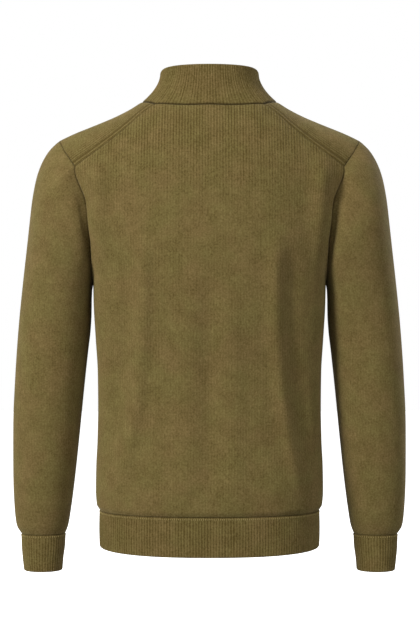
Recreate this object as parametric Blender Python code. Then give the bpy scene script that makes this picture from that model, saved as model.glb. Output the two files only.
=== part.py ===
"""Quarter zip sweater, knitted, in its filled-out hollow form with no wearer.

Frame: metres, +Z up, the wearer faces -Y and +X is the wearer's left. The origin is the centre of
the neck base, level with the high points of the shoulders. Tables are in millimetres and degrees.

Every cloth piece is a wall: a grid of outer points and the same grid moved in by the wall. Front and
back are read from one torso surface, which has two coordinates. "turn" goes round the body, from 0
at the side to 90 at the centre. "drop" goes over the shoulder, 0 on its ridge, positive down the
back and negative down the front.
"""

import math

import bpy
import numpy as np

MM = 0.001
DEG = math.pi / 180
CENTRE = 90 * DEG

# Cloth
WALL = 2.5
COLLAR_WALL = 3.0
SEAM_GAP = 0.4

# Torso
SQUARENESS = 2.35
RIDGE_SPAN = 240.0  # half width that the ridge table reaches
BACK_ARCH = 170.0  # height over which the back rounds up to the shoulder ridge
FRONT_ARCH = 150.0
UNDERARM_HEIGHT = -265.0
HEM_DEPTH = 53.0
HEM_DIP = 5.0  # how far the hem hangs lower at the centre back

# Zip
SLIT_HALF = 5.5
SLIT_ROW = 2  # rows of the front panel between the underarm's level and the bottom of the slit
TAPE_INNER = 1.3
TAPE_OUTER = 14.0
TAPE_THICK = 1.0
TAPE_CLEAR = 0.4
SLIDER_ROW = 0.80  # share of the collar's height at which the slider stands
SLIDER_LENGTH = 12.0
SLIDER_HALF = 4.5
PLATE_THICK = 1.3
FRONT_PLATE = 2.3  # height of its underside over the tapes
REAR_PLATE = (-3.3, -2.3)
FLANGE_FOOT = 1.2
NECK_HALF = 0.85
FLANGE_THICK = 0.8
JOIN_STEP = 0.2  # how far joined blocks stand back from each other's faces
BAIL_HALF = 0.8
BAIL_LENGTH = 7.2
BAIL_HOLE = 4.4
BAIL_TOP = 6.7
BAIL_HOLE_TOP = 5.5
PULL_AXIS = 4.5  # height of the bail's hole over the tapes
PULL_THICK = 1.0
PULL_HALF = 3.2
PULL_LENGTH = 26.0
PULL_BAR = 0.5
WINDOW_HALF = 1.5
WINDOW_LENGTH = 4.8
PULL_CORNER_STEPS = 5
STOP_SIZE = (6.4, 2.4, 4.6)

# Mesh: cells along each edge that pieces share, so that both sides of a seam have the same points
YOKE_CELLS = 6
BACK_NECK_CELLS = 5
FRONT_NECK_CELLS = 7
STRIP_CELLS = 3  # from the shoulder ridge back to the yoke seam
BACK_ARMHOLE_CELLS = 10
FRONT_ARMHOLE_CELLS = 10
COLLAR_ROWS = 5
BAND_ROWS = 3
LOWER_ROWS = [-604, -601, -594, -575, -545, -505, -465, -425, -385, -345, -305, UNDERARM_HEIGHT]

KNIT = (0.125, 0.088, 0.030)
TAPE_COLOUR = (0.060, 0.045, 0.020)
METAL_COLOUR = (0.200, 0.170, 0.110)


def table(columns, *rows):
    """Named columns of numbers, one row for each section or fold."""
    return dict(zip(columns.split(), np.array(rows, float).T))


# Rings of the torso, from the hem up. Depths are from the side seams' plane.
TORSO = table(
    "height half_width front_depth back_depth",
    (-606, 163.5, 112, 108),
    (-603, 164.5, 113.5, 109.5),
    (-596, 168.5, 117, 113),
    (-575, 170, 118, 114),
    (-540, 169.5, 117.5, 112),
    (-500, 167.5, 116, 109),
    (-450, 166.5, 115.5, 107.5),
    (-400, 167, 118, 109),
    (-350, 170, 122, 114),
    (-300, 173, 127, 119),
    (-265, 174, 129, 121),
    (-213, 186, 130, 122),
    (-180, 197, 128, 121),
    (-147, 206, 124, 119),
    (-94, 236, 116, 116),
    (-55, 240, 112, 114),
    (60, 240, 108, 112),
)

# The shoulder ridge, outward from the neck
RIDGE = table(
    "across height",
    (0, 30),
    (60, 22),
    (85, 13),
    (102, 4.5),
    (119, -6),
    (143, -18),
    (172, -30),
    (202, -42),
    (227, -54),
    (240, -62),
)

# Armhole seam, from the underarm up
BACK_ARMHOLE = table(
    "drop turn",
    (101.1, 0),
    (97.5, 8),
    (92.5, 16),
    (85, 22.5),
    (76, 27),
    (65, 29.5),
    (56, 32.5),
    (47, 35.5),
)
FRONT_ARMHOLE = table(
    "drop turn",
    (-110.2, 0),
    (-105, 9),
    (-98, 17.5),
    (-89, 25),
    (-77, 30.5),
    (-62, 34),
    (-45, 32),
    (-22, 26),
    (0, 20.5),
)
STRIP_ARMHOLE = table("drop turn", (0, 20.5), (25, 26.5), (47, 35.5))

# Neckline: from the centre front to the shoulder ridge, on to the yoke seam, and from the centre back
FRONT_NECK = table(
    "across drop",
    (SLIT_HALF, -68.5),
    (32, -66),
    (60, -56),
    (84, -38),
    (97.5, -18),
    (102, 0),
)
STRIP_NECK = table("across drop", (102, 0), (95.5, 13), (80, 26.5))
BACK_NECK = table("across drop", (0, 37.6), (30, 36), (58, 32.5), (80, 26.5))

# Lines across the shoulder: its ridge, and behind it the yoke seam, which joins front to back
RIDGE_LINE = table("across drop", (102, 0), (227, 0))
YOKE = table("across drop", (80, 26.5), (114, 33.5), (148, 40), (170, 43.5), (198.2, 47))

# Soft vertical folds. Depth is positive where the cloth stands out.
BACK_FOLDS = table(
    "top_height bottom_height top_across middle_across bottom_across half_width depth",
    (-60, -540, 167, 167, 168, 17, 18.0),
    (-200, -560, 123, 125, 160, 12, -6.5),
    (-180, -590, 99, 101, 138, 12, 7.5),
    (-260, -600, 30, 33, 40, 17, 3.0),
    (-230, -590, -2, -3, -6, 17, -3.5),
    (-220, -600, -54, -60, -66, 24, 4.5),
    (-210, -590, -117, -119, -122, 18, -6.5),
    (-60, -340, -170, -172, -172, 21, 20.0),
)
FRONT_FOLDS = table(
    "top_height bottom_height top_across middle_across bottom_across half_width depth",
    (-230, -590, 112, 118, 138, 18, 4.5),
    (-260, -600, 66, 70, 78, 17, -3.5),
    (-300, -580, -58, -61, -66, 19, 3.0),
    (-240, -590, -108, -118, -140, 19, -4.5),
)
FOLD_FADE = 70.0

# Sleeve rings, down the arm. Each ring runs from a point on the outer outline to one on the inner.
SLEEVE = table(
    "outer_x outer_z inner_x inner_z half_depth centre_y squareness",
    (240, -67, 175.0, -271, 76, 0, 2.1),
    (251, -85, 176.0, -277, 78, 0, 2.1),
    (259.5, -108, 176.5, -283, 78, -1, 2.1),
    (265, -137, 177.0, -291, 76, -2, 2.1),
    (269, -172, 177.2, -301, 73.5, -3, 2.1),
    (274, -216, 177.5, -315, 70.5, -4, 2.1),
    (280, -267, 179.0, -337, 67, -6, 2.1),
    (286.5, -330, 183.0, -370, 63.5, -8, 2.1),
    (292, -405, 189.0, -425, 60, -10, 2.1),
    (295.5, -480, 195.5, -489, 55.5, -13, 2.1),
    (296, -550, 202.5, -553, 50, -17, 2.1),
    (294.5, -602, 209.0, -603, 44, -20, 2.1),
    (291.5, -630, 213.5, -630, 38.5, -22, 2.1),
    (284.5, -643, 218.0, -643, 33.5, -23, 2.1),
)
CUFF = table(
    "outer_x outer_z inner_x inner_z half_depth centre_y squareness",
    (284.5, -643, 218.0, -643, 33.5, -23, 2.1),
    (284.0, -662, 219.0, -662, 32.5, -23.5, 2.1),
    (282.5, -681, 221.5, -681, 31.0, -24.0, 2.1),
    (280.5, -699, 223.0, -699, 29.5, -24.5, 2.1),
)
SLEEVE_CAP_RINGS = 5  # rings over which the armhole's outline turns into a plain oval

COLLAR_TOP = {
    "half_width": 74.0,
    "front": -73.0,
    "back": 55.0,
    "front_height": 6.0,
    "back_height": 55.0,
}
COLLAR_FALL = 3.0  # how late the top edge drops towards the front
COLLAR_FLARE = 2.0


def smooth(xs, ys, at):
    """Reads a monotone cubic curve through the points (xs, ys), xs rising."""
    at = np.clip(at, xs[0], xs[-1])
    step = np.diff(xs)
    slope = np.diff(ys) / step
    product = slope[:-1] * slope[1:]
    total = np.where(product > 0, slope[:-1] + slope[1:], 1)
    inner = np.where(product > 0, 2 * product / total, 0)
    tangent = np.concatenate([slope[:1], inner, slope[-1:]])
    i = np.clip(np.searchsorted(xs, at) - 1, 0, len(xs) - 2)
    t = (at - xs[i]) / step[i]
    ends = (1 + 2 * t) * (1 - t) ** 2 * ys[i] + t**2 * (3 - 2 * t) * ys[i + 1]
    bends = t * (1 - t) ** 2 * tangent[i] - t**2 * (1 - t) * tangent[i + 1]
    return ends + step[i] * bends


def fade(t):
    """Eases from 0 to 1 while t goes from 0 to 1."""
    t = np.clip(t, 0, 1)
    return t * t * (3 - 2 * t)


def along(columns, cells):
    """Points evenly spaced along a table's curve, one for each end of its cells."""
    points = np.array(list(columns.values())).T
    length = np.concatenate([[0], np.cumsum(np.linalg.norm(np.diff(points, axis=0), axis=1))])
    at = np.linspace(0, length[-1], cells + 1)
    return np.stack([smooth(length, column, at) for column in points.T], axis=1)


def ridge_height(share):
    """Height of the shoulder ridge at a share of the torso's half width."""
    return smooth(RIDGE["across"], RIDGE["height"], np.abs(share) * RIDGE_SPAN)


def folds(columns, x, z):
    """How far the soft folds move the cloth out at a place on the torso."""
    moved = np.zeros(np.broadcast(x, z).shape)
    for top, bottom, top_x, middle_x, bottom_x, half_width, depth in zip(*columns.values()):
        down = np.clip((top - z) / (top - bottom), 0, 1)
        bend = 4 * down * (1 - down) * (middle_x - (top_x + bottom_x) / 2)
        middle = top_x + (bottom_x - top_x) * down + bend
        ends = fade((top - z) / FOLD_FADE) * fade((z - bottom) / FOLD_FADE)
        moved += depth * ends * np.exp(-(((x - middle) / half_width) ** 2))
    return moved


def torso_at(side, turn, z, arch):
    """A torso point at a height. side is 1 on the back and -1 on the front, arch from 0 to 1."""
    share = np.abs(np.cos(turn)) ** (2 / SQUARENESS) * np.sign(np.cos(turn))
    inward = np.abs(np.sin(turn)) ** (2 / SQUARENESS)
    x = share * smooth(TORSO["height"], TORSO["half_width"], z)
    back = smooth(TORSO["height"], TORSO["back_depth"], z) + folds(BACK_FOLDS, x, z)
    front = smooth(TORSO["height"], TORSO["front_depth"], z) + folds(FRONT_FOLDS, x, z)
    y = side * np.where(side > 0, back, front) * inward * arch
    return np.stack(np.broadcast_arrays(x, y, z), axis=-1)


def torso_ring(side, turn, z):
    """A torso point at a height below the shoulder ridge."""
    height = BACK_ARCH if side > 0 else FRONT_ARCH
    share = np.abs(np.cos(turn)) ** (2 / SQUARENESS)
    fall = np.clip((ridge_height(share) - z) / height, 0, 1)
    return torso_at(side, turn, z, np.sqrt(1 - (1 - fall) ** 2))


def torso_drop(turn, drop):
    """A torso point by its drop over the shoulder ridge, in radians."""
    side = np.where(drop >= 0, 1, -1)
    height = np.where(drop >= 0, BACK_ARCH, FRONT_ARCH)
    angle = np.minimum(np.abs(drop), CENTRE)
    fall = 1 - np.cos(angle) + (np.abs(drop) - angle)
    share = np.abs(np.cos(turn)) ** (2 / SQUARENESS)
    z = ridge_height(share) - height * fall
    return torso_at(side, turn, z, np.sin(angle))


def turn_at(across, z):
    """The turn where the torso is a given distance across at a height."""
    share = across / smooth(TORSO["height"], TORSO["half_width"], z)
    return np.arccos(np.clip(share, 0, 1) ** (SQUARENESS / 2))


def drop_at(side, turn, z):
    """The drop of a torso point at a height below its arch."""
    height = BACK_ARCH if side > 0 else FRONT_ARCH
    share = np.abs(np.cos(turn)) ** (2 / SQUARENESS)
    fall = (ridge_height(share) - z) / height
    angle = np.where(fall < 1, np.arccos(np.clip(1 - fall, -1, 1)), CENTRE + fall - 1)
    return side * angle


def shoulder_line(columns, cells):
    """Turn and drop of points along a line given by its distance across and its drop."""
    across, drop = along(columns, cells).T
    drop = drop * DEG
    turn = np.full_like(drop, CENTRE)
    for _ in range(8):
        z = torso_drop(turn, drop)[:, 2]
        turn = turn_at(across, z)
    return np.stack([turn, drop], axis=1)


def armhole_line(columns, cells):
    """Turn and drop of points along an armhole seam."""
    drop, turn = along(columns, cells).T * DEG
    return np.stack([turn, drop], axis=1)


def patch(bottom, top, centre, side):
    """Fills a four-sided field with rows, from its four edges."""
    s = np.linspace(0, 1, len(bottom))[None, :, None]
    v = np.linspace(0, 1, len(side))[:, None, None]
    rows = (1 - v) * bottom[None] + v * top[None]
    columns = (1 - s) * centre[:, None] + s * side[:, None]
    low = (1 - s) * bottom[0] + s * bottom[-1]
    high = (1 - s) * top[0] + s * top[-1]
    return rows + columns - (1 - v) * low - v * high


def mirrored(points):
    return points * np.array([-1, 1, 1])


def torso_half(side, top, armhole, centre_across):
    """Half a panel, rows from the hem up and columns from the centre out."""
    cells = len(top) - 1
    share = np.linspace(0, 1, cells + 1)
    rows = []
    for z in LOWER_ROWS[:-1]:
        centre = turn_at(centre_across, z)
        rows.append(torso_ring(side, centre * (1 - share), z))
    centre = turn_at(centre_across, UNDERARM_HEIGHT)
    turn = centre * (1 - share)
    bottom = np.stack([turn, drop_at(side, turn, UNDERARM_HEIGHT)], axis=1)
    bottom[-1] = armhole[0]
    top_height = torso_drop(*top[0])[2]
    heights = np.linspace(UNDERARM_HEIGHT, top_height, len(armhole))
    turns = turn_at(centre_across, heights)
    centre_line = np.stack([turns, drop_at(side, turns, heights)], axis=1)
    centre_line[-1] = top[0]
    field = patch(bottom, top, centre_line, armhole)
    upper = torso_drop(field[..., 0], field[..., 1])
    return np.concatenate([np.array(rows), upper])


def back_half():
    """The back panel's left half."""
    neck = shoulder_line(BACK_NECK, BACK_NECK_CELLS)
    yoke = shoulder_line(YOKE, YOKE_CELLS)
    armhole = armhole_line(BACK_ARMHOLE, BACK_ARMHOLE_CELLS)
    yoke[-1] = armhole[-1]
    return torso_half(1, np.concatenate([neck[:-1], yoke]), armhole, 0.0)


def front_half():
    """The front panel's left half, with its strip over the shoulder to the yoke seam on the back.

    The strip's rows have only the columns beyond the neck. Their other places stay unused.
    """
    neck = shoulder_line(FRONT_NECK, FRONT_NECK_CELLS)
    ridge = shoulder_line(RIDGE_LINE, YOKE_CELLS)
    armhole = armhole_line(FRONT_ARMHOLE, FRONT_ARMHOLE_CELLS)
    ridge[-1] = armhole[-1]
    below = torso_half(-1, np.concatenate([neck[:-1], ridge]), armhole, SLIT_HALF)
    strip_neck = shoulder_line(STRIP_NECK, STRIP_CELLS)
    strip_armhole = armhole_line(STRIP_ARMHOLE, STRIP_CELLS)
    yoke = shoulder_line(YOKE, YOKE_CELLS)
    strip_neck[0] = ridge[0]
    strip_neck[-1] = yoke[0]
    strip_armhole[0] = ridge[-1]
    yoke[-1] = strip_armhole[-1]
    field = patch(ridge, yoke, strip_neck, strip_armhole)[1:]
    strip = torso_drop(field[..., 0], field[..., 1])
    unused = np.zeros((STRIP_CELLS, FRONT_NECK_CELLS, 3))
    return np.concatenate([below, np.concatenate([unused, strip], axis=1)])


def oval(angle, squareness):
    """A rounded square of half width 1, by its angle."""
    power = 2 / squareness
    p = np.sign(np.cos(angle)) * np.abs(np.cos(angle)) ** power
    q = np.sign(np.sin(angle)) * np.abs(np.sin(angle)) ** power
    return p, q


def arm_ring(row, p, q):
    """Points of one ring of a sleeve or cuff, from its place across and in depth."""
    outer = np.array([row["outer_x"], row["centre_y"], row["outer_z"]])
    inner = np.array([row["inner_x"], row["centre_y"], row["inner_z"]])
    depth = np.array([0, row["half_depth"], 0])
    return (outer + inner) / 2 + np.outer(p, (outer - inner) / 2) + np.outer(q, depth)


def rows_of(columns):
    names = list(columns)
    return [dict(zip(names, values)) for values in zip(*columns.values())]


def armhole_loop(back, front):
    """The armhole's points: up the back panel, over the shoulder and down the front panel."""
    start = len(LOWER_ROWS) - 1
    return np.concatenate([back[start:, -1], front[start:, -1][::-1][1:-1]])


def arm_angles():
    """Angles of the points round an arm, 180 degrees at the underarm and 0 on the outer side."""
    behind = np.linspace(math.pi, 0, BACK_ARMHOLE_CELLS + STRIP_CELLS + 1)
    before = np.linspace(0, -math.pi, FRONT_ARMHOLE_CELLS + 1)
    return np.concatenate([behind, before[1:-1]])


def sleeve_rings(loop):
    """The left sleeve's rings, from the armhole to the cuff seam."""
    even = arm_angles()
    rings = [loop]
    rows = rows_of(SLEEVE)
    plane = arm_plane(loop)
    angle = np.unwrap(np.arctan2(plane[:, 1], plane[:, 0]))
    for number, row in enumerate(rows, 1):
        blend = fade(number / SLEEVE_CAP_RINGS)
        p, q = oval(angle * (1 - blend) + even * blend, row["squareness"])
        ring = arm_ring(row, p, q)
        own = arm_ring(row, plane[:, 0], plane[:, 1]) + plane[:, 2:]
        rings.append(own * (1 - blend) + ring * blend)
    return np.array(rings)


def arm_plane(loop):
    """The armhole as a shape: its place across, in depth, and what is left over."""
    top = loop[BACK_ARMHOLE_CELLS + STRIP_CELLS]
    bottom = loop[0]
    axis = (top - bottom) / 2
    middle = (top + bottom) / 2
    across = (loop - middle) @ axis / (axis @ axis)
    depth = loop[:, 1] / np.abs(loop[:, 1]).max()
    flat = middle + np.outer(across, axis)
    rest = loop - flat
    rest[:, 1] = 0
    return np.concatenate([across[:, None], depth[:, None], rest], axis=1)


def cuff_rings():
    """The left cuff's rings."""
    return np.array([arm_ring(row, *oval(arm_angles(), row["squareness"])) for row in rows_of(CUFF)])


def collar_half(base):
    """Half the collar, rows from the neck seam up, along its base from front to back."""
    middle_y = (COLLAR_TOP["front"] + COLLAR_TOP["back"]) / 2
    half_y = (COLLAR_TOP["back"] - COLLAR_TOP["front"]) / 2
    base_half_y = (base[-1, 1] - base[0, 1]) / 2
    base_middle_y = (base[-1, 1] + base[0, 1]) / 2
    angle = np.arctan2((base[:, 1] - base_middle_y) / base_half_y, base[:, 0] / base[:, 0].max())
    lower = (0.5 - 0.5 * np.sin(angle)) ** COLLAR_FALL
    height = COLLAR_TOP["back_height"] - lower * (COLLAR_TOP["back_height"] - COLLAR_TOP["front_height"])
    p, q = oval(angle, 2.1)
    top = np.stack([p * COLLAR_TOP["half_width"], middle_y + q * half_y, height], axis=1)
    rows = []
    for v in np.linspace(0, 1, COLLAR_ROWS + 1):
        spread = (1 - v) ** COLLAR_FLARE
        plan = top[:, :2] + (base[:, :2] - top[:, :2]) * spread
        level = base[:, 2] + (top[:, 2] - base[:, 2]) * v
        row = np.column_stack([plan, level])
        row[0, 0] = SLIT_HALF
        row[-1, 0] = 0
        rows.append(row)
    return np.array(rows)


def hem_ring(ring):
    """The hem band's rings, straight down from the torso's lowest ring."""
    rows = []
    for v in np.linspace(0, 1, BAND_ROWS + 1):
        row = ring.copy()
        dip = HEM_DIP * np.clip(ring[:, 1] / ring[:, 1].max(), 0, 1)
        row[:, 2] -= (HEM_DEPTH + dip) * v
        row[:, :2] *= 1 + 0.004 * math.sin(math.pi * v)
        rows.append(row)
    return np.array(rows)


# Walls


def cells_of(rows, columns, closed, skip=()):
    """Quads of a grid, as point numbers, with the outside in front."""
    quads = []
    for r in range(rows - 1):
        for c in range(columns if closed else columns - 1):
            if (r, c) in skip:
                continue
            after = (c + 1) % columns
            low, high = r * columns, (r + 1) * columns
            quads.append((low + c, low + after, high + after, high + c))
    return quads


def point_normals(points, quads):
    """Outward normals at a grid's points."""
    normals = np.zeros_like(points)
    for quad in quads:
        a, b, c, d = points[list(quad)]
        normals[list(quad)] += np.cross(c - a, d - b)
    length = np.linalg.norm(normals, axis=1)[:, None]
    return normals / np.where(length > 0, length, 1)


def edge_pulls(points, quads, gap):
    """Moves that draw a grid's free edges in by gap, along its surface."""
    count = {}
    for quad in quads:
        for a, b in zip(quad, quad[1:] + quad[:1]):
            count[frozenset((a, b))] = count.get(frozenset((a, b)), 0) + 1
    inward = {}
    for quad in quads:
        middle = points[list(quad)].mean(axis=0)
        for a, b in zip(quad, quad[1:] + quad[:1]):
            if count[frozenset((a, b))] > 1:
                continue
            edge = points[b] - points[a]
            edge /= np.linalg.norm(edge)
            toward = middle - points[a]
            toward -= edge * (toward @ edge)
            toward /= np.linalg.norm(toward)
            inward.setdefault(a, []).append(toward)
            inward.setdefault(b, []).append(toward)
    moves = np.zeros_like(points)
    for point, ways in inward.items():
        total = sum(ways)
        moves[point] = total * gap * len(ways) / max(total @ total, 0.3)
    return moves, [edge for edge, used in count.items() if used == 1]


class Piece:
    """One cloth wall before it is made into a mesh."""

    def __init__(self, name, grid, closed=False, skip=(), wall=WALL):
        self.name = name
        self.wall = wall
        self.rows, self.columns = grid.shape[:2]
        self.points = grid.reshape(-1, 3)
        self.quads = cells_of(grid.shape[0], grid.shape[1], closed, skip)
        self.normals = point_normals(self.points, self.quads)

    def edge_points(self, row):
        """Point and normal at the left edge of the slit in a row, and at the next column out."""
        start = row * self.columns
        across = self.points[start : start + self.columns, 0]
        edge = start + int(np.argmin(np.abs(across - SLIT_HALF)))
        near = edge + 1 if self.points[edge + 1, 0] > self.points[edge, 0] else edge - 1
        return [(self.points[i], self.normals[i]) for i in (edge, near)]


def share_normals(pieces):
    """Gives points that meet at a seam one common normal, so that their walls are mitred."""
    totals = {}
    for piece in pieces:
        for point, normal in zip(piece.points, piece.normals):
            key = tuple(np.round(point, 2))
            totals[key] = totals.get(key, 0) + normal
    for piece in pieces:
        keys = [tuple(np.round(point, 2)) for point in piece.points]
        common = np.array([totals[key] for key in keys])
        length = np.linalg.norm(common, axis=1)[:, None]
        piece.normals = common / np.where(length > 0, length, 1)


def add_object(name, points, faces, material):
    """Makes a mesh object from points in millimetres."""
    mesh = bpy.data.meshes.new(name)
    mesh.from_pydata([tuple(point) for point in np.asarray(points) * MM], [], faces)
    mesh.materials.append(material)
    mesh.validate()
    item = bpy.data.objects.new(name, mesh)
    bpy.context.collection.objects.link(item)
    return item


def add_wall(piece, material):
    """Makes a closed wall: outer points, inner points, and rims along the free edges."""
    moves, free = edge_pulls(piece.points, piece.quads, SEAM_GAP / 2)
    outer = piece.points + moves
    inner = outer - piece.normals * piece.wall
    count = len(outer)
    faces = list(piece.quads)
    faces += [tuple(point + count for point in reversed(quad)) for quad in piece.quads]
    for quad in piece.quads:
        for a, b in zip(quad, quad[1:] + quad[:1]):
            if frozenset((a, b)) in free:
                faces.append((b, a, a + count, b + count))
    used = sorted({point for face in faces for point in face})
    number = {point: i for i, point in enumerate(used)}
    both = np.concatenate([outer, inner])[used]
    faces = [tuple(number[point] for point in face) for face in faces]
    item = add_object(piece.name, both, faces, material)
    item.data.shade_smooth()
    return item


def cloth_pieces():
    """Every cloth piece, each wound so that its outside is in front."""
    back = back_half()
    front = front_half()
    loop = armhole_loop(back, front)
    sleeve = sleeve_rings(loop)
    cuff = cuff_rings()
    back_grid = np.concatenate([back[:, ::-1], mirrored(back[:, 1:])], axis=1)
    front_grid = np.concatenate([mirrored(front[:, ::-1]), front], axis=1)
    half_columns = front.shape[1]
    neck_row = front.shape[0] - 1 - STRIP_CELLS
    open_cells = {(row, half_columns - 1) for row in range(len(LOWER_ROWS) - 1 + SLIT_ROW, neck_row)}
    neck_columns = range(half_columns - 1 - FRONT_NECK_CELLS, half_columns + FRONT_NECK_CELLS)
    strip_rows = range(neck_row, neck_row + STRIP_CELLS)
    open_cells |= {(row, column) for row in strip_rows for column in neck_columns}
    neck_front = front[neck_row, :FRONT_NECK_CELLS]
    neck_strip = front[neck_row:-1, FRONT_NECK_CELLS]
    neck = np.concatenate([neck_front, neck_strip, back[-1, : BACK_NECK_CELLS + 1][::-1]])
    collar = collar_half(neck)
    collar_grid = np.concatenate([collar, mirrored(collar[:, ::-1])[:, 1:]], axis=1)
    hem = np.concatenate([front_grid[0], back_grid[0, 1:-1]])
    return [
        Piece("back_panel", back_grid),
        Piece("front_panel", front_grid, skip=open_cells),
        Piece("collar", collar_grid, wall=COLLAR_WALL),
        Piece("hem_band", hem_ring(hem)[::-1], closed=True),
        Piece("sleeve_left", sleeve, closed=True),
        Piece("sleeve_right", mirrored(sleeve)[:, ::-1], closed=True),
        Piece("cuff_left", cuff, closed=True),
        Piece("cuff_right", mirrored(cuff)[:, ::-1], closed=True),
    ]


def tape_grid(panel, collar, first_row):
    """Rows of a zip tape behind the left edge of the slit, from below the slit to the collar's top."""
    rows = []
    neck_row = panel.rows - 1 - STRIP_CELLS
    for piece, start, end in ((panel, first_row, neck_row + 1), (collar, 1, collar.rows)):
        for row in range(start, end):
            edge, beyond = piece.edge_points(row)
            wall = COLLAR_WALL if row == neck_row or piece is collar else WALL
            deep = [point - normal * (wall + TAPE_CLEAR) for point, normal in (edge, beyond)]
            width = beyond[0][0] - edge[0][0]
            shares = [(x - SLIT_HALF) / width for x in (TAPE_INNER, TAPE_OUTER)]
            rows.append([deep[0] + (deep[1] - deep[0]) * share for share in shares])
    rows = np.array(rows)
    rows[..., 0] = (TAPE_INNER, TAPE_OUTER)
    return rows


def zip_frame(tape):
    """Where the slider stands on the tapes: its place, the way down the zip, and the way out."""
    collar_rows = tape[-COLLAR_ROWS - 1 :, 0]
    share = np.linspace(0, 1, COLLAR_ROWS + 1)
    place = np.array([np.interp(SLIDER_ROW, share, column) for column in collar_rows.T])
    place[0] = 0
    lower_z = place[2] - PULL_LENGTH
    lower_y = np.interp(lower_z, collar_rows[:, 2], collar_rows[:, 1])
    down = np.array([0, lower_y - place[1], lower_z - place[2]])
    down /= np.linalg.norm(down)
    out = np.array([0, down[2], -down[1]])
    return place, down, out


def placed(points, frame):
    """Moves points given as (across, out, up) on to the zip."""
    place, down, out = frame
    points = np.asarray(points, float)
    return place + points[:, :1] * [1, 0, 0] + points[:, 1:2] * out - points[:, 2:] * down


def block(x, out, up):
    """Corners and faces of a block between pairs of limits."""
    points = [(a, b, c) for c in up for b in out for a in x]
    faces = [(0, 1, 3, 2), (4, 6, 7, 5), (0, 4, 5, 1), (2, 3, 7, 6), (0, 2, 6, 4), (1, 5, 7, 3)]
    return points, faces


def join_block(item, name, frame, metal, x, out, up):
    """Joins a block to an item."""
    points, faces = block(x, out, up)
    tool = add_object(name, placed(points, frame) - frame[0], faces, metal)
    tool.location = frame[0] * MM
    tool.hide_render = True
    tool.display_type = "WIRE"
    join = item.modifiers.new(name, "BOOLEAN")
    join.operation = "UNION"
    join.object = tool


def add_slider(frame, metal):
    """The slider: two plates, the neck between the tapes, two flanges, and the bail."""
    half = SLIDER_LENGTH / 2
    front = (FRONT_PLATE, FRONT_PLATE + PLATE_THICK)
    points, faces = block((-SLIDER_HALF, SLIDER_HALF), front, (-half, half))
    item = add_object("zip_slider", placed(points, frame) - frame[0], faces, metal)
    item.location = frame[0] * MM
    inside = SLIDER_HALF - FLANGE_THICK
    outside = SLIDER_HALF - JOIN_STEP
    length = (JOIN_STEP - half, half - JOIN_STEP)
    for side in (-1, 1):
        x = sorted((side * inside, side * outside))
        join_block(item, f"flange_{side}", frame, metal, x, (FLANGE_FOOT, front[0] + 0.5), length)
    neck = (REAR_PLATE[0] + JOIN_STEP, front[0] + 0.5)
    join_block(item, "neck", frame, metal, (-NECK_HALF, NECK_HALF), neck, (half - 4.5, half - 0.6))
    join_block(item, "rear_plate", frame, metal, (-inside, inside), REAR_PLATE, (1 - half, half - 0.3))
    bail = (front[1] - 0.5, BAIL_TOP)
    reach = BAIL_LENGTH / 2
    hole = BAIL_HOLE / 2
    join_block(item, "bail_lower", frame, metal, (-BAIL_HALF, BAIL_HALF), bail, (-reach, -hole))
    join_block(item, "bail_upper", frame, metal, (-BAIL_HALF, BAIL_HALF), bail, (hole, reach))
    top = (BAIL_HOLE_TOP, BAIL_TOP)
    join_block(item, "bail_top", frame, metal, (-BAIL_HALF, BAIL_HALF), top, (JOIN_STEP - reach, reach - JOIN_STEP))
    return item


def round_outline(half, top, bottom, corner, steps):
    """A rectangle with round corners, as points (across, up), from the upper right anticlockwise."""
    centres = ((half - corner, top - corner, 0), (corner - half, top - corner, 90))
    centres += ((corner - half, bottom + corner, 180), (half - corner, bottom + corner, 270))
    points = []
    for x, up, start in centres:
        for angle in np.linspace(start, start + 90, steps) * DEG:
            points.append((x + corner * math.cos(angle), up + corner * math.sin(angle)))
    return points


def add_pull(frame, metal):
    """The pull tab: a flat plate with a window, whose top bar lies in the bail."""
    steps = PULL_CORNER_STEPS
    outer = round_outline(PULL_HALF, PULL_BAR, -PULL_LENGTH, 0.95 * PULL_BAR * 2, steps)
    window = round_outline(WINDOW_HALF, -PULL_BAR, -PULL_BAR - WINDOW_LENGTH, 0.5, steps)
    count = len(outer)
    place, down, out = frame
    axis = (place + out * PULL_AXIS, down, out)
    points = [(x, y, up) for y in (PULL_THICK / 2, -PULL_THICK / 2) for x, up in outer + window]
    faces = []
    for i in range(count):
        j = (i + 1) % count
        faces.append((i, j, count + j, count + i))
        faces.append((2 * count + i, 3 * count + i, 3 * count + j, 2 * count + j))
        faces.append((j, i, 2 * count + i, 2 * count + j))
        faces.append((count + i, count + j, 3 * count + j, 3 * count + i))
    item = add_object("zip_pull", placed(points, axis) - axis[0], faces, metal)
    item.location = axis[0] * MM
    return item


def add_stop(tape, metal):
    """The box that holds the bottom end of the zip, at the foot of the slit."""
    low, high = tape[1, 0], tape[2, 0]
    down = (low - high) * [0, 1, 1]
    down /= np.linalg.norm(down)
    frame = (low * [0, 1, 1], down, np.array([0, down[2], -down[1]]))
    width, depth, height = STOP_SIZE
    points, faces = block((-width / 2, width / 2), (TAPE_CLEAR, depth), (0.8, height))
    return add_object("zip_stop", placed(points, frame), faces, metal)


def material(name, colour, roughness, metallic=0.0):
    """A plain Principled material."""
    made = bpy.data.materials.new(name)
    made.use_nodes = True
    shader = made.node_tree.nodes["Principled BSDF"]
    shader.inputs["Base Color"].default_value = (*colour, 1)
    shader.inputs["Roughness"].default_value = roughness
    shader.inputs["Metallic"].default_value = metallic
    made.diffuse_color = (*colour, 1)
    return made


def clear_scene():
    for item in list(bpy.data.objects):
        bpy.data.objects.remove(item, do_unlink=True)


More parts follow.
